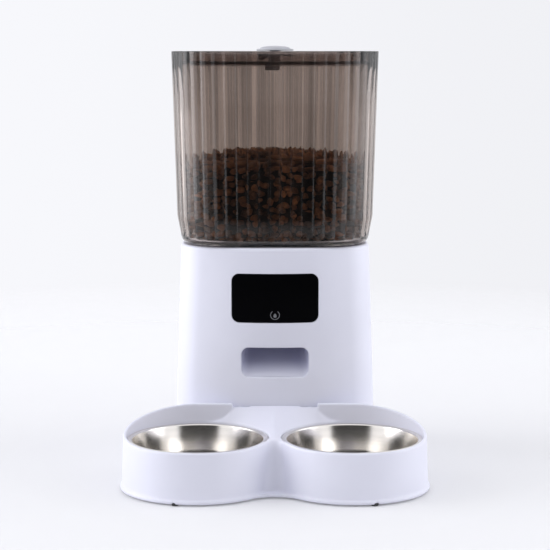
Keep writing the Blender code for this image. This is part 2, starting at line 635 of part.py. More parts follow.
def saddle_floor(x, y):
    """The slide between the wells: it falls from the notch in the back wall to each well's edge."""
    from_well = math.hypot(CUP_X - abs(x), y - CUP_Y) - (CUP_R_TOP - TRAY_WALL)
    from_back = math.hypot(max(abs(x) - NOTCH_HALF, 0.0), TRAY_BACK_Y - y)
    share = from_well / max(from_well + from_back, 1.0)
    return CHANNEL_LOW_Z + (CHANNEL_BACK_Z - CHANNEL_LOW_Z) * min(1.0, max(0.0, share))


def saddle_block():
    """The ground between the wells, as sections from the back wall to the front valley."""
    r = CUP_R_TOP - TRAY_WALL + 0.25
    rings = []
    for step in range(13):
        y = -24.6 - 76.4 * step / 12
        reach = min(60.0, CUP_X - math.sqrt(max(0.0, r * r - (y - CUP_Y) ** 2)))
        xs = [reach * i / 5 for i in range(-5, 6)]
        top = [(x, y, saddle_floor(x, y)) for x in reversed(xs)]
        rings.append([(-reach, y, DECK_Z - 1.0), (reach, y, DECK_Z - 1.0)] + top)
    return loft(rings)


def tray(mats):
    made = add("bowl_tray", tray_shell(), mats["white"], (0, TRAY_BACK_Y, 0))
    boolean(made, saddle_block(), "UNION")
    for side in (-1, 1):
        boolean(made, prism(circle(WELL_R, 44, side * CUP_X, CUP_Y), 20, DECK_Z + 0.2))
    boolean(made, prism(rounded_box(-NOTCH_HALF, -30, NOTCH_HALF, -20, 1.0, 1), CHANNEL_BACK_Z, 70))
    boolean(made, prism(rounded_box(-25, -25, 25, -9, 3, 3), 8.0, 13.0), "UNION")
    places = [(side * (CUP_X + 64.1 * math.cos(a)), CUP_Y + 64.1 * math.sin(a))
              for side in (-1, 1) for a in (math.radians(-75), math.radians(30))]
    for number, (x, y) in enumerate(places, 1):
        boolean(made, prism(circle(3.4, 12, x, y), 0, 3.4))
        add(f"tray_foot_{number}", turned([(2.8, 0.0), (3.0, 0.3), (3.0, 3.1)], 12, x, y), mats["rubber"],
            (0, TRAY_BACK_Y, 0))


def bowl_profile():
    """From the middle of the inside floor, up the inside, over the rolled rim and down the outside."""
    top, steel = BOWL_RIM_Z, BOWL_STEEL
    floor = top - BOWL_DEPTH
    inside = [(44.0, floor), (49.5, floor + 2.2), (52.0, floor + 7.5), (56.3, top - 3.5), (57.4, top - 0.8)]
    rim = [(58.6, top), (61.2, top), (BOWL_RIM_R, top - 0.8), (61.6, top - 1.7), (57.9, top - 1.7)]
    outside = [(r + steel, z) for r, z in ((56.1, top - 4.5), (52.0, floor + 7.2))]
    outside += [(50.0, floor + 1.4), (44.6, floor - steel)]
    return inside + rim + outside


def bowls(mats):
    for name, side in (("left", -1), ("right", 1)):
        shape = turned(bowl_profile(), 32, side * CUP_X, CUP_Y)
        add(f"bowl_{name}", shape, mats["steel"], (side * CUP_X, CUP_Y, BOWL_RIM_Z))


def main():
    for old in list(bpy.data.objects):
        bpy.data.objects.remove(old)
    mats = make_materials()
    for build in (body_shell, base, batteries, outlet_chute, display, metering_housing, rotor, gear_train,
                  gearbox, electronics, hopper, kibble_fill, lid, knob, latch_bolts, tray, bowls):
        build(mats)


main()
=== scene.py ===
"""The looks of an automatic pet feeder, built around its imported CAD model.

Lengths are in millimetres until a piece is made, and the scene is in metres. The front faces -Y,
and the floor is z = 0.
"""

import math

import bmesh
import bpy
import numpy as np
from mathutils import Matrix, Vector


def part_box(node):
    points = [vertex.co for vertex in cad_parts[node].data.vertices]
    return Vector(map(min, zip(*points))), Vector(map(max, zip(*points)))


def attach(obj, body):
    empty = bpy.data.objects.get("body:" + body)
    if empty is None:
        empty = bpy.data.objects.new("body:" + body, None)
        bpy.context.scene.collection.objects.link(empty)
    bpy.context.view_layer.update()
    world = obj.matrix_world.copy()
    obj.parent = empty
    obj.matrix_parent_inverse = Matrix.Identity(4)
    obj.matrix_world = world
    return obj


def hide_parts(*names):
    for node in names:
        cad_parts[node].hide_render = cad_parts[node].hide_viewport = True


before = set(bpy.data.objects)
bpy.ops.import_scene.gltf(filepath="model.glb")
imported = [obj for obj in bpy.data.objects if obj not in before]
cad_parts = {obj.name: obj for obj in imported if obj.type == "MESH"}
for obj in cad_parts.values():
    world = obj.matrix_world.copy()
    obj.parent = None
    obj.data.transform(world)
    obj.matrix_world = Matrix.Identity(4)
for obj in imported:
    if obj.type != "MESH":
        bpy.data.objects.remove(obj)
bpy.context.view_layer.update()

MM = 0.001
FULL_TURN = 2 * math.pi


def node_box(name):
    """A CAD node's lowest and highest corner, in millimetres."""
    low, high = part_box(name)
    return np.array(low) / MM, np.array(high) / MM


# ---------------------------------------------------------------- sizes, from the frame where it has them

HOPPER_LOW, HOPPER_HIGH = node_box("hopper")
BODY_LOW, BODY_HIGH = node_box("body_shell")
TRAY_LOW, TRAY_HIGH = node_box("bowl_tray")
BOWL_LOW, BOWL_HIGH = node_box("bowl_right")
LID_LOW = node_box("lid")[0]
KNOB_LOW, KNOB_HIGH = node_box("lid_knob")
WINDOW_LOW, WINDOW_HIGH = node_box("display_window")

# Pairs of half sizes, leans and roundings are across (X) first, then along (Y) or upwards.

AXIS_Y = (HOPPER_LOW[1] + HOPPER_HIGH[1]) / 2  # the hopper, throat and knob share this upright axis
RIM_Z, RIM_SHY = HOPPER_HIGH[2], 0.05  # the rim stays this far inside the CAD's box
RIM_HALF = (HOPPER_HIGH[0] - RIM_SHY, (HOPPER_HIGH[1] - HOPPER_LOW[1]) / 2 - RIM_SHY)
WAIST_HALF, WAIST_Z = (91.2, 86.4), 229.0  # the hopper's walls lean otherwise below this height
FOOT_LEAN, FOOT_Z, FOOT_ROUNDING = (0.19, 0.05), 204.4, (4.4, 5.4)
SQUIRCLE, CIRCLE = 4.0, 2.0  # powers of the outline's curve
WALL = 2.5
THROAT_R, THROAT_WALL, THROAT_BOTTOM = 45.0, 2.4, HOPPER_LOW[2]
FLUTES, FLUTE_STEPS, FLUTE_DEPTH = 62, 12, 1.0
FLUTE_END_Z, FLUTE_FADE = 212.0, 8.0  # the flutes fade out over this height, around their end
INNER_FLOOR_Z, INNER_FILLET, FLOOR_DROP = 207.0, 5.0, 0.4
FLOOR_EDGE_HALF = (78.5, 73.7)
GROOVE_LOW, GROOVE_HIGH, PLATE_LOW = 367.4, 370.7, 377.3  # the lid's gasket groove and plate

FRONT_Y = BODY_LOW[1]
BACK_Y = BODY_HIGH[1]
BODY_TOP = BODY_HIGH[2]
BODY_HALF_BASE, BODY_HALF_TOP = BODY_HIGH[0], 87.0
BODY_STRAIGHT_Z, BODY_WALL, BODY_DECK = 60.0, 2.5, 3.0
FRONT_R, FRONT_CORNER_R, BACK_CORNER_R = 150.0, 38.0, 30.0
OUTLET_HALF, OUTLET_LOW, OUTLET_HIGH, OUTLET_R = 30.5, 86.0, 113.0, 7.0
BODY_EDGE = 3.2
WINDOW_GAP, WINDOW_R = 0.3, 7.0
WINDOW_HALF = (WINDOW_HIGH[0] + WINDOW_GAP, (WINDOW_HIGH[2] - WINDOW_LOW[2]) / 2 + WINDOW_GAP)
WINDOW_Z = (WINDOW_HIGH[2] + WINDOW_LOW[2]) / 2
CHUTE_GAP, CHUTE_WALL, CHUTE_R = 0.3, 1.6, 6.4
CHUTE_MOUTH_Z, CHUTE_MOUTH_HALF_Z = 99.5, 13.5
CHUTE_TOP_HALF, CHUTE_TOP_Y, CHUTE_TOP_Z = (24.0, 12.25), 23.75, 129.6
JACK_HOLE_R = 4.8
TONGUE_HALF, TONGUE_Z, TONGUE_SLOT_HALF = (25.0, 2.5), 10.5, (26.0, 3.3)

CUP_X = (BOWL_LOW[0] + BOWL_HIGH[0]) / 2
CUP_Y = (BOWL_LOW[1] + BOWL_HIGH[1]) / 2
CUP_R_TOP, CUP_R_BASE = 64.5, 66.5
CUP_BASE_Z, CUP_LEAN_RISE = 4.0, 58.0  # the cups narrow over this rise, from their base up
VALLEY_FILLET_BASE, VALLEY_FILLET_LOSS = 15.0, 12.0
CUP_RIM_Z, CUP_RIM_RISE, CUP_RIM_RUN = 45.0, 17.5, 128.0  # the rim climbs towards the back
FLANGE_R, FLANGE_FILLET, FLANGE_TOP = 68.0, 30.0, 4.4
TRAY_FEET = [sum(node_box(f"tray_foot_{i}"))[:2] / 2 for i in range(1, 5)]
FOOT_POCKET_R, FOOT_POCKET_Z = 3.3, 3.3
WELL_R, TRAY_WALL = 62.3, 2.2
TRAY_BACK_Y = -23.5
DECK_Z, DECK_THICK, DECK_HOLE_R = 42.5, 2.2, 58.3
NOTCH_HALF, CHANNEL_BACK_Z, CHANNEL_LOW_Z = 38.5, 60.4, 45.6
BOWL_RIM_Z, BOWL_RIM_R = BOWL_HIGH[2], (BOWL_HIGH[0] - BOWL_LOW[0]) / 2
BOWL_DEPTH, BOWL_STEEL = 36.0, 0.9


# ---------------------------------------------------------------- materials

FINE_GRAIN, COLOUR_DRIFT = 1400.0, 0.03  # grain is in features per metre
FOOD_DARK, FOOD_LIGHT = (0.070, 0.030, 0.012), (0.50, 0.225, 0.090)
WHITE = (0.755, 0.76, 0.86)


def shader(name, colour, roughness, **sockets):
    """A new material with a Principled shader, and its nodes."""
    made = bpy.data.materials.new(name)
    made.use_nodes = True
    nodes = made.node_tree.nodes
    bsdf = nodes["Principled BSDF"]
    bsdf.inputs["Base Color"].default_value = (*colour, 1.0)
    bsdf.inputs["Roughness"].default_value = roughness
    for socket, value in sockets.items():
        bsdf.inputs[socket.replace("_", " ")].default_value = value
    return made, nodes, made.node_tree.links.new, bsdf


def add_node(nodes, kind, **values):
    made = nodes.new(kind)
    for name, value in values.items():
        if name in made.inputs:
            made.inputs[name].default_value = value
        else:
            setattr(made, name, value)
    return made


def own_place(nodes):
    """The piece's own coordinates, in metres."""
    return nodes.new("ShaderNodeTexCoord").outputs["Object"]


def noise(nodes, link, scale, detail=3.0, vector=None):
    """A noise texture on the piece's own coordinates, scale in features per metre."""
    made = add_node(nodes, "ShaderNodeTexNoise", Scale=scale, Detail=detail)
    link(own_place(nodes) if vector is None else vector, made.inputs["Vector"])
    return made.outputs["Fac"]


def spread(nodes, link, value, low, high, start=0.3, end=0.7, curve="LINEAR"):
    """Maps a value from one range, by default a noise's middle, to another."""
    made = add_node(nodes, "ShaderNodeMapRange", interpolation_type=curve)
    for socket, number in (("From Min", start), ("From Max", end), ("To Min", low), ("To Max", high)):
        made.inputs[socket].default_value = number
    link(value, made.inputs["Value"])
    return made.outputs["Result"]


def bump(nodes, link, bsdf, height, strength, distance):
    made = add_node(nodes, "ShaderNodeBump", Strength=strength, Distance=distance)
    link(height, made.inputs["Height"])
    link(made.outputs["Normal"], bsdf.inputs["Normal"])


def uneven_gloss(nodes, link, bsdf, value, low, high):
    link(spread(nodes, link, value, low, high), bsdf.inputs["Roughness"])


def own_axis(nodes, link, axis):
    split = nodes.new("ShaderNodeSeparateXYZ")
    link(own_place(nodes), split.inputs["Vector"])
    return split.outputs[axis]


def stretched(nodes, link, scale):
    """The piece's own coordinates, scaled along each axis."""
    made = add_node(nodes, "ShaderNodeMapping", Scale=scale)
    link(own_place(nodes), made.inputs["Vector"])
    return made.outputs["Vector"]


def two_tone(nodes, link, bsdf, value, first, second, ends=(0.0, 1.0)):
    """Colours the surface between two colours, by a value that runs from one end to the other."""
    ramp = nodes.new("ShaderNodeValToRGB")
    for i, (colour, end) in enumerate(zip((first, second), ends)):
        ramp.color_ramp.elements[i].color = (*colour, 1.0)
        ramp.color_ramp.elements[i].position = end
    link(value, ramp.inputs["Fac"])
    link(ramp.outputs["Color"], bsdf.inputs["Base Color"])


def varied(colour, amount):
    """A colour made darker and paler by a share of itself."""
    return tuple(c * (1 - amount) for c in colour), tuple(min(1.0, c * (1 + amount)) for c in colour)


def mould_grain(nodes, link, bsdf, roughness, grain):
    """The fine eroded grain of a mould, with slightly uneven gloss."""
    bump(nodes, link, bsdf, noise(nodes, link, grain, 4.0), 0.35, 0.00002)
    uneven_gloss(nodes, link, bsdf, noise(nodes, link, 35.0), roughness - 0.04, roughness + 0.04)


def moulded(name, colour, roughness, grain=FINE_GRAIN):
    """Moulded plastic: a fine eroded grain, slight gloss variation and a trace of colour drift."""
    made, nodes, link, bsdf = shader(name, colour, roughness)
    mould_grain(nodes, link, bsdf, roughness, grain)
    drift = spread(nodes, link, noise(nodes, link, 12.0), 0.0, 1.0)
    two_tone(nodes, link, bsdf, drift, *varied(colour, COLOUR_DRIFT))
    return made


def chute_shaded_skin(name, inner, lit_colour, roughness, high_z, low_z):
    """The chute's plastic in painted shade: dimmer and bluer deep inside, paler towards the mouth's lower
    edge, where more light reaches.
    """
    made, nodes, link, bsdf = shader(name, inner, roughness)
    # Painted shade and light: the colour runs from the dim inner colour high up to the paler one at the
    # mouth's lower edge.
    painted_light_share = spread(nodes, link, own_axis(nodes, link, "Z"), 0.0, 1.0, high_z * MM, low_z * MM)
    two_tone(nodes, link, bsdf, painted_light_share, inner, lit_colour)
    mould_grain(nodes, link, bsdf, roughness, FINE_GRAIN)
    return made


def clear_tint(name, colour, roughness, streaks=0.0):
    """Polished tinted plastic with the faint flow lines of a moulding, and upright streaks in its tint."""
    made, nodes, link, bsdf = shader(name, colour, roughness, Transmission_Weight=1.0, IOR=1.5)
    flow = noise(nodes, link, 60.0, 2.0, stretched(nodes, link, (1.0, 1.0, 0.12)))
    bump(nodes, link, bsdf, flow, 0.12, 0.0004)
    lines = noise(nodes, link, 130.0, 1.0, stretched(nodes, link, (1.0, 1.0, 0.01)))
    streak = spread(nodes, link, lines, 0.0, 1.0, 0.35, 0.65)
    two_tone(nodes, link, bsdf, streak, *varied(colour, streaks))
    return made


def spun_steel(name):
    """Stainless steel with the fine rings left by spinning, about the piece's own upright axis."""
    made, nodes, link, bsdf = shader(name, (0.70, 0.69, 0.67), 0.16, Metallic=1.0)
    split = nodes.new("ShaderNodeSeparateXYZ")
    link(own_place(nodes), split.inputs["Vector"])
    flat = nodes.new("ShaderNodeCombineXYZ")
    link(split.outputs["X"], flat.inputs["X"])
    link(split.outputs["Y"], flat.inputs["Y"])
    radius = add_node(nodes, "ShaderNodeVectorMath", operation="LENGTH")
    link(flat.outputs["Vector"], radius.inputs[0])
    rings = nodes.new("ShaderNodeCombineXYZ")
    link(radius.outputs["Value"], rings.inputs["X"])
    link(split.outputs["Z"], rings.inputs["Z"])
    line = noise(nodes, link, 1500.0, 2.0, rings.outputs["Vector"])
    bump(nodes, link, bsdf, line, 0.25, 0.00003)
    uneven_gloss(nodes, link, bsdf, noise(nodes, link, 40.0), 0.13, 0.22)
    two_tone(nodes, link, bsdf, spread(nodes, link, line, 0.0, 1.0), (0.70, 0.67, 0.63), (0.80, 0.77, 0.73))
    return made


def baked_food(name):
    """Dry food: each piece its own brown, with a pitted, slightly oily skin."""
    made, nodes, link, bsdf = shader(name, (0.10, 0.05, 0.03), 0.55)
    island = nodes.new("ShaderNodeNewGeometry").outputs["Random Per Island"]
    mottle = noise(nodes, link, 500.0, 4.0)
    mixed = add_node(nodes, "ShaderNodeMath", operation="MULTIPLY_ADD")
    link(mottle, mixed.inputs[0])
    mixed.inputs[1].default_value = 0.5
    link(spread(nodes, link, island, 0.0, 0.5, 0.0, 1.0), mixed.inputs[2])
    two_tone(nodes, link, bsdf, mixed.outputs["Value"], FOOD_DARK, FOOD_LIGHT, (0.2, 0.8))
    bump(nodes, link, bsdf, noise(nodes, link, 900.0, 5.0), 0.6, 0.0004)
    uneven_gloss(nodes, link, bsdf, mottle, 0.45, 0.7)
    return made


def gloss_black(name):
    made, nodes, link, bsdf = shader(name, (0.002, 0.002, 0.0025), 0.05, Specular_IOR_Level=0.02)
    uneven_gloss(nodes, link, bsdf, noise(nodes, link, 25.0), 0.04, 0.07)
    return made


def rubber(name):
    made, nodes, link, bsdf = shader(name, (0.04, 0.04, 0.042), 0.8)
    bump(nodes, link, bsdf, noise(nodes, link, 2500.0, 4.0), 0.5, 0.00005)
    two_tone(nodes, link, bsdf, noise(nodes, link, 200.0), (0.03, 0.03, 0.031), (0.06, 0.06, 0.062))
    return made


def machined(name, colour, roughness, across=4000.0):
    """Turned or drawn metal: fine lines across Z, and a slightly uneven polish."""
    made, nodes, link, bsdf = shader(name, colour, roughness, Metallic=1.0)
    line = noise(nodes, link, across, 2.0, stretched(nodes, link, (0.05, 0.05, 1.0)))
    bump(nodes, link, bsdf, line, 0.2, 0.00003)
    uneven_gloss(nodes, link, bsdf, line, roughness - 0.05, roughness + 0.08)
    two_tone(nodes, link, bsdf, noise(nodes, link, 90.0), colour, varied(colour, 0.12)[1])
    return made


def circuit_board(name):
    """Green solder mask over a maze of paler tracks."""
    made, nodes, link, bsdf = shader(name, (0.01, 0.12, 0.05), 0.35)
    stood_up = add_node(nodes, "ShaderNodeMapping", Rotation=(math.pi / 2, 0.0, 0.0))
    link(own_place(nodes), stood_up.inputs["Vector"])
    tracks = add_node(nodes, "ShaderNodeTexBrick", Scale=160.0)
    tracks.inputs["Mortar Size"].default_value = 0.06
    tracks.inputs["Color1"].default_value = (0.006, 0.09, 0.035, 1)
    tracks.inputs["Color2"].default_value = (0.008, 0.11, 0.045, 1)
    tracks.inputs["Mortar"].default_value = (0.03, 0.22, 0.09, 1)
    link(stood_up.outputs["Vector"], tracks.inputs["Vector"])
    link(tracks.outputs["Color"], bsdf.inputs["Base Color"])
    bump(nodes, link, bsdf, tracks.outputs["Fac"], 0.3, 0.00004)
    return made


def cell_jacket(name, low_y, high_y):
    """A cell's shrink sleeve: dark, with a copper-coloured band at the terminal end."""
    dark, copper = (0.02, 0.02, 0.03), (0.55, 0.25, 0.08)
    made, nodes, link, bsdf = shader(name, dark, 0.3)
    along = spread(nodes, link, own_axis(nodes, link, "Y"), 0.0, 1.0, low_y * MM, high_y * MM)
    two_tone(nodes, link, bsdf, along, dark, copper, (0.70, 0.71))
    bump(nodes, link, bsdf, noise(nodes, link, 300.0), 0.15, 0.0001)
    return made


white_plastic = moulded("white plastic", WHITE, 0.36)
smoke_clear = clear_tint("smoke clear plastic", (0.465, 0.405, 0.37), 0.03, streaks=0.24)
lid_smoke = clear_tint("lid smoke plastic", (0.48, 0.42, 0.41), 0.04)
display_gloss = gloss_black("display gloss")
bowl_steel = spun_steel("bowl steel")
kibble_skin = baked_food("kibble")
# Painted shade: a near-black brown for the heap's core, seen only in the gaps between pieces.
kibble_shade = moulded("kibble gap shade", (0.026, 0.012, 0.007), 0.9)
foot_rubber = rubber("foot rubber")
seal_rubber = moulded("seal silicone", (0.13, 0.11, 0.11), 0.6)
bolt_grey = moulded("latch bolt plastic", (0.17, 0.145, 0.14), 0.5)
knob_plastic = moulded("knob plastic", (0.45, 0.455, 0.49), 0.42)
grey_plastic = moulded("inner grey plastic", (0.40, 0.41, 0.44), 0.5)
# Painted shade: the chute's white plastic is made dimmer and bluer, as the recess is in shade, and paler
# towards the lit lower lip.
chute_plastic = chute_shaded_skin("chute plastic", (0.50, 0.505, 0.66), (0.72, 0.725, 0.83), 0.42, 98.0, 87.0)
rotor_plastic = moulded("rotor plastic", (0.55, 0.57, 0.60), 0.45)
acetal = moulded("gear acetal", (0.80, 0.79, 0.74), 0.38, grain=700.0)
black_plastic = moulded("black plastic", (0.022, 0.022, 0.024), 0.42)
ground_steel = machined("ground steel", (0.60, 0.60, 0.61), 0.22)
screw_steel = machined("zinc-plated steel", (0.55, 0.56, 0.58), 0.3)
motor_steel = machined("motor can steel", (0.50, 0.50, 0.52), 0.34, across=1500.0)
bronze = machined("sintered bronze", (0.55, 0.36, 0.17), 0.45, across=900.0)
board_green = circuit_board("circuit board")
printed_mark = moulded("printed mark", (0.17, 0.175, 0.19), 0.5)


# ---------------------------------------------------------------- mesh tools

def new_piece(name, points, faces, finish, sharp=40.0, origin=(0.0, 0.0, 0.0)):
    """A mesh object from points in millimetres, with its faces turned outwards."""
    mesh = bpy.data.meshes.new(name)
    centre = np.array(origin, float)
    mesh.from_pydata(((np.asarray(points, float) - centre) * MM).tolist(), [], faces)
    work = bmesh.new()
    work.from_mesh(mesh)
    bmesh.ops.recalc_face_normals(work, faces=work.faces)
    work.to_mesh(mesh)
    work.free()
    mesh.shade_smooth()
    if sharp < 180:
        mesh.set_sharp_from_angle(angle=math.radians(sharp))
    mesh.materials.append(finish)
    made = bpy.data.objects.new(name, mesh)
    made.location = Vector(origin) * MM
    bpy.context.scene.collection.objects.link(made)
    return made


def ring_faces(rows, count, closed):
    """The quads between rings of points, and the two end caps unless the rings run round."""
    faces = []
    for row in range(rows if closed else rows - 1):
        a, b = row * count, (row + 1) % rows * count
        faces += [(a + i, a + (i + 1) % count, b + (i + 1) % count, b + i) for i in range(count)]
    if not closed:
        faces += [tuple(range(count - 1, -1, -1)), tuple(range((rows - 1) * count, rows * count))]
    return faces


def loft(name, rings, finish, closed=False, **more):
    rings = np.asarray(rings, float)
    rows, count = rings.shape[:2]
    return new_piece(name, rings.reshape(-1, 3), ring_faces(rows, count, closed), finish, **more)


def turned(name, profile, finish, centre=(0.0, 0.0), steps=96, closed=False, **more):
    angles = np.linspace(0, FULL_TURN, steps, endpoint=False)
    rings = [np.stack([centre[0] + r * np.cos(angles), centre[1] + r * np.sin(angles), np.full(steps, z)], 1)
             for r, z in profile]
    return loft(name, rings, finish, closed, **more)


def arc(cx, cy, r, start, end, steps):
    angles = [math.radians(start + (end - start) * i / steps) for i in range(steps + 1)]
    return [(cx + r * math.cos(a), cy + r * math.sin(a)) for a in angles]


def rounded_box(half_x, half_y, r, steps=8, cx=0.0, cy=0.0):
    x, y = half_x - r, half_y - r
    return (arc(cx + x, cy - y, r, -90, 0, steps) + arc(cx + x, cy + y, r, 0, 90, steps)
            + arc(cx - x, cy + y, r, 90, 180, steps) + arc(cx - x, cy - y, r, 180, 270, steps))


def upright(outline, z):
    """An outline of x and y, as points at a height."""
    return np.column_stack([outline, np.full(len(outline), z)])


def quarter_turn(steps):
    return [math.pi / 2 * step / steps for step in range(steps + 1)]


def cut(target, cutter):
    """Subtracts a helper from a piece and removes the helper."""
    modifier = target.modifiers.new("cut", "BOOLEAN")
    modifier.object = cutter
    modifier.solver = "MANIFOLD"
    apply_modifier(target, modifier)
    bpy.data.objects.remove(cutter)


def apply_modifier(target, modifier):
    bpy.context.view_layer.update()
    graph = bpy.context.evaluated_depsgraph_get()
    mesh = bpy.data.meshes.new_from_object(target.evaluated_get(graph), depsgraph=graph)
    target.modifiers.remove(modifier)
    target.data = mesh


def flat_faces_first(piece):
    """Lets the large faces set the shading, so that narrow ones beside a cut cast no streaks."""
    modifier = piece.modifiers.new("shading", "WEIGHTED_NORMAL")
    modifier.keep_sharp = True
    modifier.weight = 80
    apply_modifier(piece, modifier)


def stand_in(piece, body, slot, *nodes):
    """The piece rides on a body and stands for CAD nodes, which are hidden; the slot is not used."""
    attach(piece, body)
    if nodes:
        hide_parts(*nodes)


# ---------------------------------------------------------------- hopper and lid

def squircle(angles, half_x, half_y, power=SQUIRCLE):
    c, s = np.cos(angles), np.sin(angles)
    r = (np.abs(c / half_x) ** power + np.abs(s / half_y) ** power) ** (-1 / power)
    return np.stack([r * c, AXIS_Y + r * s], 1)


def even_angles(count):
    """Angles that spread points evenly along the hopper's rim."""
    dense = np.linspace(0, FULL_TURN, 7201)
    step = np.diff(squircle(dense, *RIM_HALF), axis=0)
    run = np.concatenate([[0], np.cumsum(np.hypot(step[:, 0], step[:, 1]))])
    return np.interp(np.arange(count) * run[-1] / count, run, dense)


def wall_half(z):
    """The hopper's outer half width and half depth at a height."""
    rise = np.maximum(z - WAIST_Z, 0) / (RIM_Z - WAIST_Z)
    drop = np.maximum(WAIST_Z - z, 0)
    return [waist + (rim - waist) * rise - lean * drop
            for waist, rim, lean in zip(WAIST_HALF, RIM_HALF, FOOT_LEAN)]


def pushed_in(outline, depth):
    """An outline moved inwards along its own normals."""
    along = np.roll(outline, -1, 0) - np.roll(outline, 1, 0)
    along /= np.linalg.norm(along, axis=1)[:, None]
    inwards = np.stack([-along[:, 1], along[:, 0]], 1)
    return outline + inwards * np.reshape(depth, (-1, 1))


def wall_ring(angles, z, inset=0.0):
    half_x, half_y = wall_half(z)
    return upright(squircle(angles, half_x - inset, half_y - inset), z)


def round_ring(angles, r, z):
    return upright(squircle(angles, r, r, CIRCLE), z)


def reeded_hopper():
    """The clear hopper: convex ribs outside, a smooth inside, a nearly flat floor and a round throat."""
    angles = even_angles(FLUTES * FLUTE_STEPS)
    across = 2 * (np.arange(len(angles)) % FLUTE_STEPS) / FLUTE_STEPS - 1
    perimeter = FULL_TURN * sum(RIM_HALF) / 2 * 1.08  # about: a squircle is longer round than an ellipse
    half_pitch = perimeter / FLUTES / 2
    rib_r = (half_pitch**2 + FLUTE_DEPTH**2) / (2 * FLUTE_DEPTH)
    scallop = rib_r - np.sqrt(rib_r**2 - (across * half_pitch) ** 2)

    def outside(z, inset=0.0):
        fade = min(1.0, max(0.0, (z - FLUTE_END_Z + FLUTE_FADE / 2) / FLUTE_FADE))
        share = fade * fade * (3 - 2 * fade)
        ring = wall_ring(angles, z)
        return upright(pushed_in(ring[:, :2], scallop * share + inset), z)

    bore = THROAT_R - THROAT_WALL
    inside = [(bore, THROAT_BOTTOM), (bore, INNER_FLOOR_Z - 2.2), (THROAT_R - 1.8, INNER_FLOOR_Z - 1.0),
              (THROAT_R + 0.6, INNER_FLOOR_Z - FLOOR_DROP)]
    rings = [round_ring(angles, r, z) for r, z in inside]
    rings.append(upright(squircle(angles, *FLOOR_EDGE_HALF), INNER_FLOOR_Z))
    for t in quarter_turn(5):
        z = INNER_FLOOR_Z + 0.2 + INNER_FILLET * (1 - math.cos(t))
        rings.append(wall_ring(angles, z, WALL + INNER_FILLET * (1 - math.sin(t))))
    rings += [wall_ring(angles, z, WALL) for z in (WAIST_Z, 260.0, 320.0, RIM_Z - 0.6)]
    rings.append(wall_ring(angles, RIM_Z, WALL - 0.5))
    rings += [outside(RIM_Z, 0.45), outside(RIM_Z - 0.5)]
    rings += [outside(z) for z in (360.0, 340.0, 320.0, 300.0, 280.0, 260.0, 245.0, 236.0)]
    rings += [outside(WAIST_Z + step) for step in (2.0, 0.7, -0.7, -2.0)]
    rings += [outside(FLUTE_END_Z + 5 - step) for step in range(0, 7)]
    for t in quarter_turn(7):
        inset, rise = FOOT_ROUNDING[0] * (1 - math.cos(t)), FOOT_ROUNDING[1] * (1 - math.sin(t))
        rings.append(outside(FOOT_Z + rise, inset))
    throat = [(THROAT_R + 0.6, FOOT_Z), (THROAT_R, FOOT_Z - 0.6), (THROAT_R, THROAT_BOTTOM)]
    rings += [round_ring(angles, r, z) for r, z in throat]
    made = loft("hopper_reeded", rings, smoke_clear, closed=True, sharp=50)
    stand_in(made, "hopper", "smoke_clear", "hopper")


def clear_lid():
    """A plate flush with the rim, its edge rolled over, on a skirt with a groove for the gasket."""
    angles = even_angles(320)
    skirt, gap = LID_LOW[2], WALL + 0.4

    def ring(z, inset):
        return wall_ring(angles, z, gap + inset)

    rings = [ring(skirt + 10.6, 4.2), ring(skirt + 10.0, 2.4), ring(skirt + 9.0, 2.1), ring(skirt, 2.0)]
    rings += [ring(skirt, 0.5), ring(skirt + 0.2, 0.3), ring(GROOVE_LOW, 0.3), ring(GROOVE_LOW, 1.2)]
    rings += [ring(GROOVE_HIGH, 1.2), ring(GROOVE_HIGH, 0.25), ring(377.0, 0.1), ring(379.0, 0.1)]
    for t in quarter_turn(5)[1:]:
        rings.append(ring(RIM_Z - 1.0 + math.sin(t), 0.1 + 1.0 * (1 - math.cos(t))))
    rings.append(ring(RIM_Z - 0.02, 8.0))
    rings += [round_ring(angles, 5.4, RIM_Z - 0.02), round_ring(angles, 5.4, PLATE_LOW), ring(PLATE_LOW, 8.0)]
    made = loft("lid_clear", rings, lid_smoke, closed=True, sharp=35)
    stand_in(made, "lid", "lid_smoke", "lid")
    seal = [ring(GROOVE_LOW + rise, inset)
            for rise, inset in ((0.3, 0.95), (0.3, 0.2), (0.9, 0.02), (1.6, 0.12))]
    seal += [ring(GROOVE_HIGH - drop, inset) for drop, inset in ((0.9, 0.02), (0.3, 0.2), (0.3, 0.95))]
    stand_in(loft("lid_seal", seal, seal_rubber, closed=True), "lid", "seal_rubber", "lid_gasket")


def domed_knob():
    """The quarter-turn knob: a shallow dome inside a rolled edge, on a stem."""
    dome_r, dome_z = 13.6, 382.9
    profile = [(2.2, KNOB_LOW[2]), (2.2, 371.4), (4.9, 371.4), (4.9, 380.4), (16.9, 380.4), (17.4, 380.8)]
    profile += arc(16.2, 380.9, 1.2, 0, 90, 5) + [(14.4, 382.3), (14.0, dome_z)]
    profile += [(dome_r * math.cos(t), dome_z + (KNOB_HIGH[2] - dome_z) * math.sin(t))
                for t in map(math.radians, (15, 30, 45, 58, 70, 80, 86))]
    made = turned("lid_knob_domed", profile, knob_plastic, (0.0, AXIS_Y), 72, sharp=35)
    stand_in(made, "knob", "knob_plastic", "lid_knob")


# ---------------------------------------------------------------- kibble

PIECE = 7.4  # a piece of food across, on average
COLUMN_PITCH, ROW_PITCH, LAYER_PITCH = 0.94, 0.80, 0.72  # of the packing, in pieces
HEAP_TOP_Z, HEAP_FALL, HEAP_HALF = 290.5, 10.5, (86.0, 82.0)


def heap_height(x, y):
    """The top of the heap: domed in the middle, with a few soft hollows."""
    across = (x / HEAP_HALF[0]) ** 2 + ((y - AXIS_Y) / HEAP_HALF[1]) ** 2
    waves = 1.6 * np.sin(x / 17.0 + 0.6) * np.sin(y / 15.0) + 1.1 * np.sin(x / 9.0 - y / 11.0)
    return HEAP_TOP_Z - HEAP_FALL * across + waves


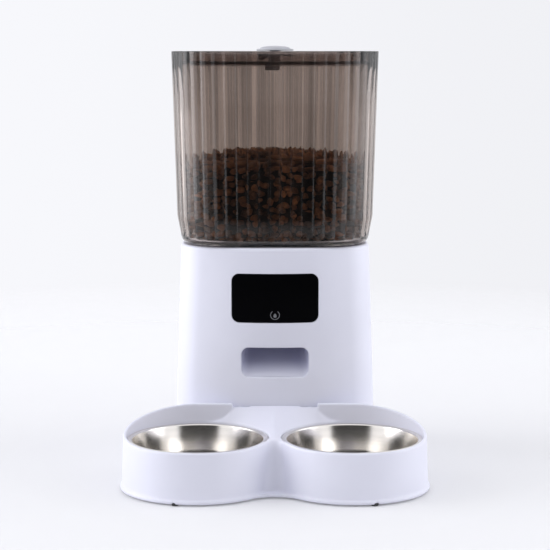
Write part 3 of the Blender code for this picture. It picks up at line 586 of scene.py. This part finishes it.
def wall_share(points, clear):
    """How far out each point is: 1 is on the hopper's smooth inner wall, less a clearance."""
    half_x, half_y = (half - WALL - clear for half in wall_half(points[:, 2]))
    low = np.clip(1 - (points[:, 2] - INNER_FLOOR_Z) / INNER_FILLET, 0.0, 1.0)
    shrink = INNER_FILLET * (1 - np.sqrt(1 - low**2))
    x, y = points[:, 0], points[:, 1] - AXIS_Y
    size = np.abs(x / (half_x - shrink)) ** SQUIRCLE + np.abs(y / (half_y - shrink)) ** SQUIRCLE
    return size ** (1 / SQUIRCLE)


def heap_centres(rng):
    """A jittered packing, kept only where it can be seen: beside the walls and near the top."""
    found = []
    layer = PIECE * LAYER_PITCH
    for level in range(18):
        z = INNER_FLOOR_Z + 2.5 + level * layer
        shift = (level % 3) * PIECE / 2
        for row in range(-16, 17):
            y = AXIS_Y + row * PIECE * ROW_PITCH + shift * 0.5
            xs = np.arange(-14, 15) * PIECE * COLUMN_PITCH + (row % 2) * PIECE / 2 + shift
            found.append(np.column_stack([xs, np.full(len(xs), y), np.full(len(xs), z)]))
    points = np.concatenate(found)
    points += rng.normal(0, 0.17 * PIECE, points.shape)
    out = wall_share(points, 3.9)
    under = heap_height(points[:, 0], points[:, 1]) - points[:, 2]
    in_heap = (out < 1.0) & (under > 2.4) & (points[:, 2] > INNER_FLOOR_Z)
    in_sight = (out > 0.885) | (under < 9.5)
    return points[in_heap & in_sight]


def food_piece():
    """The points and faces of one piece before it is sized and turned: a rounded pillow."""
    work = bmesh.new()
    bmesh.ops.create_icosphere(work, subdivisions=2, radius=0.5)
    points = np.array([v.co for v in work.verts])
    faces = np.array([[v.index for v in f.verts] for f in work.faces])
    work.free()
    return points, faces


def kibble_heap():
    """The food: one mesh of separate pieces, each with its own size, turn and place, over a core."""
    rng = np.random.default_rng(11)
    centres = heap_centres(rng)
    points, faces = food_piece()
    count = len(centres)
    sizes = PIECE * rng.uniform(0.86, 1.06, (count, 1))
    sizes = sizes * rng.uniform([0.95, 0.85, 0.62], [1.1, 1.0, 0.8], (count, 3))
    turns = rng.normal(size=(count, 4))
    turns /= np.linalg.norm(turns, axis=1)[:, None]
    w, x, y, z = turns.T
    spin = np.stack([1 - 2 * (y * y + z * z), 2 * (x * y - w * z), 2 * (x * z + w * y),
                     2 * (x * y + w * z), 1 - 2 * (x * x + z * z), 2 * (y * z - w * x),
                     2 * (x * z - w * y), 2 * (y * z + w * x), 1 - 2 * (x * x + y * y)], 1)
    spin = spin.reshape(count, 3, 3)
    lumps = 1 + 0.07 * np.sin(points * 9.0 + 1.3).sum(1)
    every = (points * lumps[:, None])[None] * sizes[:, None]
    every = np.einsum("nij,npj->npi", spin, every) + centres[:, None]
    every = every.reshape(-1, 3)
    # Pieces against the wall and the floor press flat on them.
    over = np.maximum(wall_share(every, 0.35), 1.0)
    every[:, 0] /= over
    every[:, 1] = AXIS_Y + (every[:, 1] - AXIS_Y) / over
    every[:, 2] = np.maximum(every[:, 2], floor_at(every[:, 0], every[:, 1]) + 0.3)
    index = (faces[None] + (np.arange(count) * len(points))[:, None, None]).reshape(-1, 3)
    made = new_piece("kibble_heap", every, index.tolist(), kibble_skin, sharp=180)
    core = kibble_core()
    core.parent = made
    stand_in(made, "hopper", "kibble", "kibble_fill")


def floor_at(x, y):
    """The height of the hopper's floor, which falls slightly towards the throat."""
    out, edge = np.hypot(x, y - AXIS_Y), 80.0
    return INNER_FLOOR_Z - FLOOR_DROP * np.clip((edge - out) / (edge - THROAT_R), 0, 1)


def kibble_core():
    """The unseen middle of the heap, in painted shade: a near-black core that keeps the gaps between pieces
    dark.
    """
    angles = even_angles(120)
    rings = [upright(squircle(angles, 60.0, 57.0), INNER_FLOOR_Z + 1.0)]
    for z in (INNER_FLOOR_Z + 4.0, WAIST_Z, 272.0):
        rings.append(wall_ring(angles, z, WALL + 7.0))
    for share, z in ((0.75, 275.5), (0.4, 280.5), (0.1, 282.5)):
        rings.append(upright(squircle(angles, 80.0 * share, 76.0 * share, 3.0), z))
    return loft("kibble_core", rings, kibble_shade, sharp=180)


# ---------------------------------------------------------------- housing

def body_outline(half, inset=0.0):
    """The housing's plan: a wide arc in front, straight sides and back, and rounded corners."""
    half -= inset
    front_r, corner, back = FRONT_R - inset, FRONT_CORNER_R - inset, BACK_CORNER_R - inset
    centre_y = FRONT_Y + FRONT_R
    corner_x = half - corner
    corner_y = centre_y - math.sqrt((front_r - corner) ** 2 - corner_x**2)
    tip = math.degrees(math.asin(corner_x / (front_r - corner)))
    back_y = BACK_Y - inset
    return (arc(0, centre_y, front_r, -90 - tip, -90 + tip, 40)
            + arc(corner_x, corner_y, corner, -90 + tip, 0, 20)[1:]
            + arc(half - back, back_y - back, back, 0, 90, 20)
            + arc(back - half, back_y - back, back, 90, 180, 20)
            + arc(-corner_x, corner_y, corner, 180, 270 - tip, 20)[:-1])


def body_half(z):
    """The housing's half width at a height."""
    lean = max(0.0, (z - BODY_STRAIGHT_Z) / (BODY_TOP - BODY_STRAIGHT_Z))
    return BODY_HALF_BASE + (BODY_HALF_TOP - BODY_HALF_BASE) * lean


def front_y(x, depth=0.0):
    """Where the curved front is along Y, or a surface at a depth behind it."""
    r = FRONT_R - depth
    return FRONT_Y + FRONT_R - math.sqrt(r * r - x * x)


def front_opening(half_x, half_z, corner, z, lip, steps=8):
    """A cutter for the curved front, with a rounded lip where it leaves the surface."""
    angles = [math.radians(a) for a in (25, 38, 51, 64, 77, 90)]
    sections = [(lip * (1 - math.cos(t)), lip * (1 - math.sin(t))) for t in angles]
    first_depth, first_grow = sections[0]
    sections.insert(0, (-1.0, first_grow + (1.0 + first_depth) / math.tan(angles[0])))
    sections.append((6.0, 0.0))
    outlines = [split_sides(rounded_box(half_x + grow, half_z + grow, corner + grow, steps))
                for _, grow in sections]
    rings = [[(x, front_y(x) + depth, z + y) for x, y in outline]
             for (depth, _), outline in zip(sections, outlines)]
    rings.insert(0, [(x, FRONT_Y - 12.0, z + y) for x, y in outlines[0]])
    rings.append([(x, FRONT_Y + 24.0, z + y) for x, y in outlines[-1]])
    return loft("cutter", rings, white_plastic)


def split_sides(outline, pieces=16):
    """Points added along an outline's straight sides, so that they can follow the curved front."""
    found = []
    for (x0, y0), (x1, y1) in zip(outline, outline[1:] + outline[:1]):
        count = pieces if math.hypot(x1 - x0, y1 - y0) > 4.0 else 1
        found += [(x0 + (x1 - x0) * i / count, y0 + (y1 - y0) * i / count) for i in range(count)]
    return found


def housing():
    """The white shell: a curved front with its openings, leaning sides, and a deck for the hopper."""
    bottom = BODY_LOW[2]
    rings = [upright(body_outline(body_half(z), BODY_WALL), z)
             for z in (BODY_TOP - BODY_DECK, BODY_STRAIGHT_Z, bottom)]
    rings += [upright(body_outline(body_half(bottom), 0.8), bottom)]
    rings += [upright(body_outline(body_half(z)), z)
              for z in (bottom + 0.8, BODY_STRAIGHT_Z - 12, BODY_STRAIGHT_Z, BODY_STRAIGHT_Z + 12)]
    for t in quarter_turn(6):
        outline = body_outline(body_half(BODY_TOP), BODY_EDGE * (1 - math.cos(t)))
        rings.append(upright(outline, BODY_TOP - BODY_EDGE * (1 - math.sin(t))))
    shell = loft("housing_shell", rings, white_plastic)
    cut(shell, front_opening(*WINDOW_HALF, WINDOW_R, WINDOW_Z, 0.5))
    outlet_z = (OUTLET_LOW + OUTLET_HIGH) / 2
    cut(shell, front_opening(OUTLET_HALF, (OUTLET_HIGH - OUTLET_LOW) / 2, OUTLET_R, outlet_z, 1.3))
    cut(shell, front_opening(*TONGUE_SLOT_HALF, 1.5, TONGUE_Z, 0.4, 4))
    throat = [(THROAT_R + 1.6, 220.0), (THROAT_R + 1.6, BODY_TOP),
              (THROAT_R + 0.6, BODY_TOP - 1.0), (THROAT_R + 0.6, 190.0)]
    cut(shell, turned("cutter", throat, white_plastic, (0.0, AXIS_Y)))
    jack_low, jack_high = node_box("dc_jack")
    jack = ((jack_low[0] + jack_high[0]) / 2, (jack_low[2] + jack_high[2]) / 2)
    circle = [(jack[0] + x, z) for x, z in arc(0, jack[1], JACK_HOLE_R, 0, 345, 23)]
    cut(shell, loft("cutter", [[(x, y, z) for x, z in circle] for y in (145.0, 165.0)], white_plastic))
    bosses()
    shell.data.shade_smooth()
    shell.data.set_sharp_from_angle(angle=math.radians(32))
    flat_faces_first(shell)
    stand_in(shell, "root", "white_plastic", "body_shell")


def bosses():
    """The four bosses inside the shell that the base screws go into."""
    for number in range(1, 5):
        low, high = node_box(f"base_screw_{number}")
        profile = [(1.8, 8.0), (4.6, 8.0), (5.2, 8.6), (5.2, 33.4), (4.6, 34.0), (1.8, 34.0)]
        centre = (low[:2] + high[:2]) / 2
        made = turned(f"screw_boss_{number}", profile, white_plastic, centre, 40, closed=True)
        stand_in(made, "root", "white_plastic")


def display():
    """The black window, its edge rolled over, with a printed touch mark near its lower edge."""
    half_x, half_z, corner = WINDOW_HALF[0] - WINDOW_GAP, WINDOW_HALF[1] - WINDOW_GAP, WINDOW_R - WINDOW_GAP
    roll = 0.7
    spread_out = np.sin(np.linspace(-1, 1, 61) * math.pi / 2)
    shares = np.sign(spread_out) * (1 - (1 - np.abs(spread_out)) ** 1.3)
    sections = []
    for x in shares * (half_x - 0.01):
        past = max(0.0, abs(x) - (half_x - corner))
        top = half_z - corner + math.sqrt(corner**2 - past**2)
        z = shares * top
        out = np.hypot(past, np.maximum(np.abs(z) - (half_z - corner), 0)) - corner
        out = np.where(past > 0, out, np.maximum(abs(x) - half_x, np.maximum(out, np.abs(z) - half_z)))
        rounding = roll * (1 - np.sqrt(1 - np.clip(1 + out / roll, 0, 1) ** 2))
        face = [(x, front_y(x, 0.05 + drop), WINDOW_Z + height) for height, drop in zip(z, rounding)]
        back = [(x, front_y(x, 1.95), WINDOW_Z + top), (x, front_y(x, 1.95), WINDOW_Z - top)]
        sections.append(face + back)
    made = loft("display_glass", sections, display_gloss, sharp=60)
    stand_in(made, "root", "display_gloss", "display_window")
    touch_mark(-WINDOW_HALF[1] + 7.4)


def touch_mark(offset_z):
    """A small broken ring with a drop in it, printed flush on the window."""
    def flat_shape(name, outline):
        points = [(x, front_y(x, -0.02), WINDOW_Z + offset_z + z) for x, z in outline]
        back = [(x, y + 0.05, z) for x, y, z in points]
        made = loft(name, [points, back], printed_mark)
        stand_in(made, "root", "display_gloss")

    ring = arc(0, 0, 4.3, -235, 55, 40) + arc(0, 0, 3.7, 55, -235, 40)
    flat_shape("touch_mark_ring", ring)
    drop = [(1.35 * math.sin(t) * (1 - 0.35 * math.cos(t)), -0.5 + 1.9 * math.cos(t))
            for t in [FULL_TURN * i / 24 for i in range(24)]]
    flat_shape("touch_mark_drop", drop)


def outlet():
    """The chute seen through the outlet, with rounded corners all the way up."""
    def mouth(grow):
        outline = rounded_box(OUTLET_HALF - CHUTE_GAP + grow, CHUTE_MOUTH_HALF_Z + grow, CHUTE_R + grow,
                              6, 0.0, CHUTE_MOUTH_Z)
        return [(x, front_y(x, BODY_WALL + 0.4), z) for x, z in outline]

    def top(grow):
        half_x, half_y = CHUTE_TOP_HALF
        outline = rounded_box(half_x + grow, half_y + grow, CHUTE_R + grow, 6, 0.0, -CHUTE_TOP_Y)
        return [(x, -y, CHUTE_TOP_Z) for x, y in outline]

    def between(first, second, share):
        return [tuple(a + (b - a) * share for a, b in zip(p, q)) for p, q in zip(first, second)]

    inner = [between(mouth(0.0), top(0.0), share) for share in (1.0, 0.75, 0.5, 0.25, 0.0)]
    outer = [between(mouth(CHUTE_WALL), top(CHUTE_WALL), share) for share in (0.0, 0.5, 1.0)]
    made = loft("outlet_chute_smooth", inner + outer, chute_plastic, closed=True, sharp=50)
    stand_in(made, "root", "chute_grey", "outlet_chute")


# ---------------------------------------------------------------- tray and bowls

def soft_min(a, b, k):
    """The lower of two fields, blended over a width k into a fillet."""
    h = np.clip(0.5 + 0.5 * (b - a) / k, 0, 1)
    return b + (a - b) * h - k * h * (1 - h)


def soft_max(a, b, k):
    return -soft_min(-a, -b, k)


def tray_plan(side, y, r, fillet):
    """Negative inside two cups of a radius, joined by a fillet in front and filled between them behind."""
    valley_y = CUP_Y - np.sqrt((r + fillet) ** 2 - CUP_X**2)
    cup = np.hypot(side - CUP_X, y - CUP_Y) - r
    valley = fillet - np.hypot(side, y - valley_y)
    between = (side * (CUP_Y - valley_y) < CUP_X * (y - valley_y)) & (y < CUP_Y)
    band = np.maximum(side - CUP_X, CUP_Y - 8.0 - y)
    return np.minimum(np.where(between, valley, cup), band)


def tray_field(x, y, z):
    """Negative inside the bowl tray: two joined cups, an open saddle between them and a straight back."""
    side = np.abs(x)
    from_cup = np.hypot(side - CUP_X, y - CUP_Y)
    lean = np.clip((z - CUP_BASE_Z) / CUP_LEAN_RISE, 0, 1)
    plan = tray_plan(side, y, CUP_R_BASE + (CUP_R_TOP - CUP_R_BASE) * lean,
                     VALLEY_FILLET_BASE - VALLEY_FILLET_LOSS * lean)
    rise = np.maximum((y - (CUP_Y - CUP_R_TOP)) / CUP_RIM_RUN, 0)
    rim = CUP_RIM_Z + CUP_RIM_RISE * rise**2
    well = from_cup - WELL_R
    from_notch = np.hypot(np.maximum(side - NOTCH_HALF, 0), np.maximum(TRAY_BACK_Y - y, 0))
    share = well / np.maximum(well + from_notch, 1.0)
    slide = CHANNEL_LOW_Z + (CHANNEL_BACK_Z - CHANNEL_LOW_Z) * np.clip(share, 0, 1)

    flange = np.maximum(tray_plan(side, y, FLANGE_R, FLANGE_FILLET), z - FLANGE_TOP)
    skin = soft_min(soft_max(plan, z - rim, 1.6), flange, 2.0)
    solid = soft_max(soft_max(skin, y - TRAY_BACK_Y, 0.8), TRAY_LOW[2] - z, 0.8)
    # Above: the two wells down to the deck, and the slide between them.
    saddle = np.maximum(np.maximum(side - CUP_X, (CUP_Y - 24.0) - y), y - (TRAY_BACK_Y - TRAY_WALL))
    notch = np.maximum(side - NOTCH_HALF, np.maximum(y - TRAY_BACK_Y - 6, TRAY_BACK_Y - 8 - y))
    above_slide = soft_max(np.minimum(saddle, notch), slide - z, 1.2)
    above_deck = np.maximum(well, DECK_Z - z)
    opened = np.minimum(above_slide, above_deck)
    # Below: the hollow under the deck, and the holes that the bowls hang in.
    hollow = np.minimum(np.maximum(plan + TRAY_WALL, 4.8 - z), plan + 6.3)
    hollow = np.maximum(hollow, z - (DECK_Z - DECK_THICK))
    hollow = np.maximum(hollow, y - (TRAY_BACK_Y - TRAY_WALL))
    for foot_x, foot_y in TRAY_FEET:
        pocket = np.maximum(np.hypot(x - foot_x, y - foot_y) - FOOT_POCKET_R, z - FOOT_POCKET_Z)
        hollow = np.minimum(hollow, pocket)
    holes = np.maximum(from_cup - DECK_HOLE_R, z - DECK_Z - 5)
    opened = np.minimum(opened, np.minimum(hollow, holes))
    solid = soft_max(solid, -opened, 1.0)
    # The tongue that goes into the housing's slot.
    across = np.maximum(side - TONGUE_HALF[0], np.abs(z - TONGUE_Z) - TONGUE_HALF[1])
    tongue = np.maximum(across, np.maximum(y + 9.0, -26.0 - y))
    return np.minimum(solid, tongue)


def field_surface(field, low, high, step):
    """The surface where a field is 0, as a quad net whose points are then smoothed and moved onto it."""
    axes = [np.arange(a, b + step, step) for a, b in zip(low, high)]
    values = field(*np.meshgrid(*axes, indexing="ij", sparse=True)).astype(np.float32)
    inside = values < 0
    shape = np.array(values.shape) - 1
    total = np.zeros(shape, np.int8)
    for dx in (0, 1):
        for dy in (0, 1):
            for dz in (0, 1):
                total += inside[dx:shape[0] + dx, dy:shape[1] + dy, dz:shape[2] + dz]
    cells = np.argwhere((total > 0) & (total < 8))
    number = np.full(shape, -1, np.int64)
    number[tuple(cells.T)] = np.arange(len(cells))
    points = np.array(low) + (cells + 0.5) * step
    quads = []
    for axis in range(3):
        first = [slice(None)] * 3
        second = [slice(None)] * 3
        first[axis], second[axis] = slice(None, -1), slice(1, None)
        a, b = inside[tuple(first)], inside[tuple(second)]
        u, v = [k for k in range(3) if k != axis]
        crossed = np.argwhere(a != b)
        crossed = crossed[(crossed[:, u] > 0) & (crossed[:, v] > 0)]
        crossed = crossed[(crossed[:, u] < shape[u]) & (crossed[:, v] < shape[v])]
        corners = []
        for du, dv in ((1, 1), (0, 1), (0, 0), (1, 0)):
            cell = crossed.copy()
            cell[:, u] -= du
            cell[:, v] -= dv
            corners.append(number[tuple(cell.T)])
        quads.append(np.stack(corners, 1))
    quads = np.concatenate(quads)
    for _ in range(6):
        points = relaxed(points, quads)
        points = onto_surface(field, points, step)
    return points, quads[(quads >= 0).all(1)]


def relaxed(points, quads):
    """Points moved halfway to the mean of their neighbours."""
    total, count = np.zeros_like(points), np.zeros(len(points))
    for i in range(4):
        a, b = quads[:, i], quads[:, (i + 1) % 4]
        np.add.at(total, a, points[b])
        np.add.at(total, b, points[a])
        np.add.at(count, a, 1)
        np.add.at(count, b, 1)
    return points + 0.5 * (total / np.maximum(count, 1)[:, None] - points)


def onto_surface(field, points, step, small=0.02):
    """One Newton step towards the field's zero, no further than a cell."""
    value = field(*points.T)
    slope = np.stack([(field(*(points + small * unit).T) - field(*(points - small * unit).T)) / (2 * small)
                      for unit in np.eye(3)], 1)
    move = slope * (value / np.maximum((slope**2).sum(1), 0.05))[:, None]
    length = np.linalg.norm(move, axis=1)[:, None]
    return points - move * np.minimum(1.0, step * 0.7 / np.maximum(length, 1e-9))


def bowl_tray():
    """The white moulding that carries both bowls."""
    margin, fine, coarse = 2.0, 1.15, 2.2
    step = fine
    points, quads = field_surface(tray_field, TRAY_LOW - margin, TRAY_HIGH + margin, step)
    made = new_piece("bowl_tray_moulded", points, quads.tolist(), white_plastic, sharp=180)
    stand_in(made, "tray", "white_plastic", "bowl_tray")


def smooth_profile(corners, steps=7):
    """A profile through its corner points, each corner rounded by the radius given with it."""
    found = [corners[0][:2]]
    for (x0, z0, _), (x1, z1, r), (x2, z2, _) in zip(corners, corners[1:], corners[2:]):
        before, after = Vector((x0 - x1, z0 - z1)), Vector((x2 - x1, z2 - z1))
        reach = min(r, before.length * 0.45, after.length * 0.45)
        start = Vector((x1, z1)) + before.normalized() * reach
        end = Vector((x1, z1)) + after.normalized() * reach
        for i in range(steps + 1):
            t = i / steps
            point = start * (1 - t) ** 2 + Vector((x1, z1)) * 2 * t * (1 - t) + end * t**2
            found.append((point.x, point.y))
    found.append(corners[-1][:2])
    return found


def steel_bowl(side, body):
    """A pressed bowl with a rolled rim."""
    top, base, rim = BOWL_RIM_Z, BOWL_RIM_Z - BOWL_DEPTH, BOWL_RIM_R - 0.02
    corners = [(0.3, base, 0), (46.5, base, 10), (53.0, base + 9, 10), (57.3, top - 0.9, 1.2),
               (58.6, top, 1.0), (rim - 0.9, top, 1.0), (rim, top - 0.9, 0.9), (rim - 0.6, top - 1.8, 0.6),
               (58.2, top - 1.8, 0.6), (57.2, top - 4.0, 1.0), (53.0 + BOWL_STEEL, base + 8.6, 10),
               (46.9, base - BOWL_STEEL, 10), (0.3, base - BOWL_STEEL, 0)]
    centre = (side * CUP_X, CUP_Y)
    made = turned(f"{body}_spun", smooth_profile(corners), bowl_steel, centre, 128, sharp=60,
                  origin=(*centre, BOWL_RIM_Z))
    stand_in(made, body, "bowl_steel", body)


# ---------------------------------------------------------------- CAD nodes that stay

def finish_nodes():
    """Gives each CAD node that stays its own finish."""
    battery_low, battery_high = node_box("battery_1")
    jacket = cell_jacket("cell jacket", battery_low[1], battery_high[1])
    plans = {
        grey_plastic: ["base_plate", "battery_door", "battery_box", "metering_housing", "housing_cover"],
        rotor_plastic: ["rotor"],
        acetal: ["rotor_gear", "compound_gear", "motor_pinion", "latch_pinion"],
        ground_steel: ["rotor_shaft", "compound_axle", "motor_shaft"],
        screw_steel: [f"base_screw_{i}" for i in range(1, 5)] + [f"gearbox_screw_{i}" for i in range(1, 4)],
        motor_steel: ["motor_can"],
        bronze: ["shaft_bush"],
        board_green: ["main_board", "display_board"],
        black_plastic: ["gearbox_base", "gearbox_cover", "dc_jack", "led_module"],
        bolt_grey: ["latch_bolt_front", "latch_bolt_rear"],
        lid_smoke: ["latch_cover"],
        foot_rubber: [f"{place}_foot_{i}" for place in ("body", "tray") for i in range(1, 5)],
        jacket: [f"battery_{i}" for i in range(1, 4)],
    }
    for finish, names in plans.items():
        for name in names:
            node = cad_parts[name]
            for slot in node.material_slots:
                slot.material = finish


# ---------------------------------------------------------------- studio

# Edges of the lights, as azimuths from the camera's side in radians or as the upward part of a direction.
GAP_EDGE, GAP_TOP, GAP_BOTTOM, GAP_DEPTH = (0.54, 0.72), (0.45, 0.70), (-0.40, -0.25), 0.95
BOX_NEAR, BOX_FAR = (1.05, 1.35), (1.9, 2.2)
BOX_TOP, BOX_BOTTOM = (0.55, 0.8), (-0.3, -0.05)
BOX_LIGHT = (2.7, 1.4)  # the left softbox and the right one, on top of the light around them
FRONT_LIGHT, BACK_LIGHT, FRONT_TO_BACK = 1.27, 0.95, (1.2, 2.2)
BACKDROP, BACKDROP_SIDES = (0.905, 0.91, 0.945), (1.03, 0.97)
FLOOR_COLOUR = (0.87, 0.87, 0.88)
CAMERA_AT, CAMERA_DOWN, CAMERA_LENS = (0.0, -1.608, 0.380), 7.2, 116.0  # metres, degrees, millimetres


def studio():
    """A pale world: even light with a softbox at each side, and a darker gap on the camera's side."""
    world = bpy.data.worlds.new("studio")
    bpy.context.scene.world = world
    world.use_nodes = True
    nodes, link = world.node_tree.nodes, world.node_tree.links.new
    background = nodes["Background"]
    split = nodes.new("ShaderNodeSeparateXYZ")
    link(nodes.new("ShaderNodeTexCoord").outputs["Generated"], split.inputs["Vector"])

    def math_node(operation, *values):
        made = add_node(nodes, "ShaderNodeMath", operation=operation)
        for socket, value in zip(made.inputs, values):
            if isinstance(value, (int, float)):
                socket.default_value = value
            else:
                link(value, socket)
        return made.outputs["Value"]

    def step(value, start, end, low, high):
        return spread(nodes, link, value, low, high, start, end, "SMOOTHSTEP")

    across, toward, up = (split.outputs[axis] for axis in "XYZ")
    azimuth = math_node("ABSOLUTE", math_node("ARCTAN2", across, math_node("MULTIPLY", toward, -1.0)))
    front_gap = step(azimuth, *GAP_EDGE, GAP_DEPTH, 0.0)
    open_above = math_node("MULTIPLY", step(up, *GAP_TOP, 1.0, 0.0), step(up, *GAP_BOTTOM, 0.0, 1.0))
    kept = math_node("SUBTRACT", 1.0, math_node("MULTIPLY", front_gap, open_above))
    wrap = step(azimuth, *FRONT_TO_BACK, FRONT_LIGHT, BACK_LIGHT)
    box_near = step(azimuth, *BOX_NEAR, 0.0, 1.0)
    box_far = step(azimuth, *BOX_FAR, 1.0, 0.0)
    box_top = math_node("MULTIPLY", step(up, *BOX_TOP, 1.0, 0.0), step(up, *BOX_BOTTOM, 0.0, 1.0))
    box_shape = math_node("MULTIPLY", math_node("MULTIPLY", box_near, box_far), box_top)
    box_light = math_node("MULTIPLY", box_shape, step(across, -0.5, 0.5, *BOX_LIGHT))
    strength = math_node("MULTIPLY_ADD", wrap, kept, box_light)
    seen = nodes.new("ShaderNodeMix")
    link(nodes.new("ShaderNodeLightPath").outputs["Is Camera Ray"], seen.inputs["Factor"])
    link(strength, seen.inputs[2])
    link(step(across, -0.16, 0.16, *BACKDROP_SIDES), seen.inputs[3])
    link(seen.outputs[0], background.inputs["Strength"])
    background.inputs["Color"].default_value = (*BACKDROP, 1.0)


def floor():
    """A pale disc that melts into the backdrop towards its edge."""
    made, nodes, link, bsdf = shader("studio floor", FLOOR_COLOUR, 0.9)
    radius = add_node(nodes, "ShaderNodeVectorMath", operation="LENGTH")
    link(own_place(nodes), radius.inputs[0])
    fade = spread(nodes, link, radius.outputs["Value"], 0.7, 0.0, 0.25, 1.3)
    link(fade, bsdf.inputs["Alpha"])
    uneven_gloss(nodes, link, bsdf, noise(nodes, link, 8.0), 0.85, 0.95)
    profile = [(1.0, 0.0), (400.0, 0.0), (900.0, 0.0), (1600.0, 0.0), (1600.0, -1.0), (1.0, -1.0)]
    disc = turned("studio_floor", profile, made, steps=128)


def camera():
    data = bpy.data.cameras.new("camera")
    data.lens, data.sensor_width = CAMERA_LENS, 36.0
    data.clip_end = 50.0
    made = bpy.data.objects.new("camera", data)
    bpy.context.scene.collection.objects.link(made)
    made.location = CAMERA_AT
    made.rotation_euler = (math.radians(90.0 - CAMERA_DOWN), 0.0, 0.0)
    bpy.context.scene.camera = made


def main():
    camera()
    studio()
    floor()
    finish_nodes()
    housing()
    display()
    outlet()
    reeded_hopper()
    clear_lid()
    domed_knob()
    kibble_heap()
    bowl_tray()
    steel_bowl(-1, "bowl_left")
    steel_bowl(1, "bowl_right")
    bpy.context.scene.view_settings.view_transform = "Standard"
    cycles = bpy.context.scene.cycles
    cycles.max_bounces, cycles.transmission_bounces, cycles.glossy_bounces = 32, 32, 16


main()
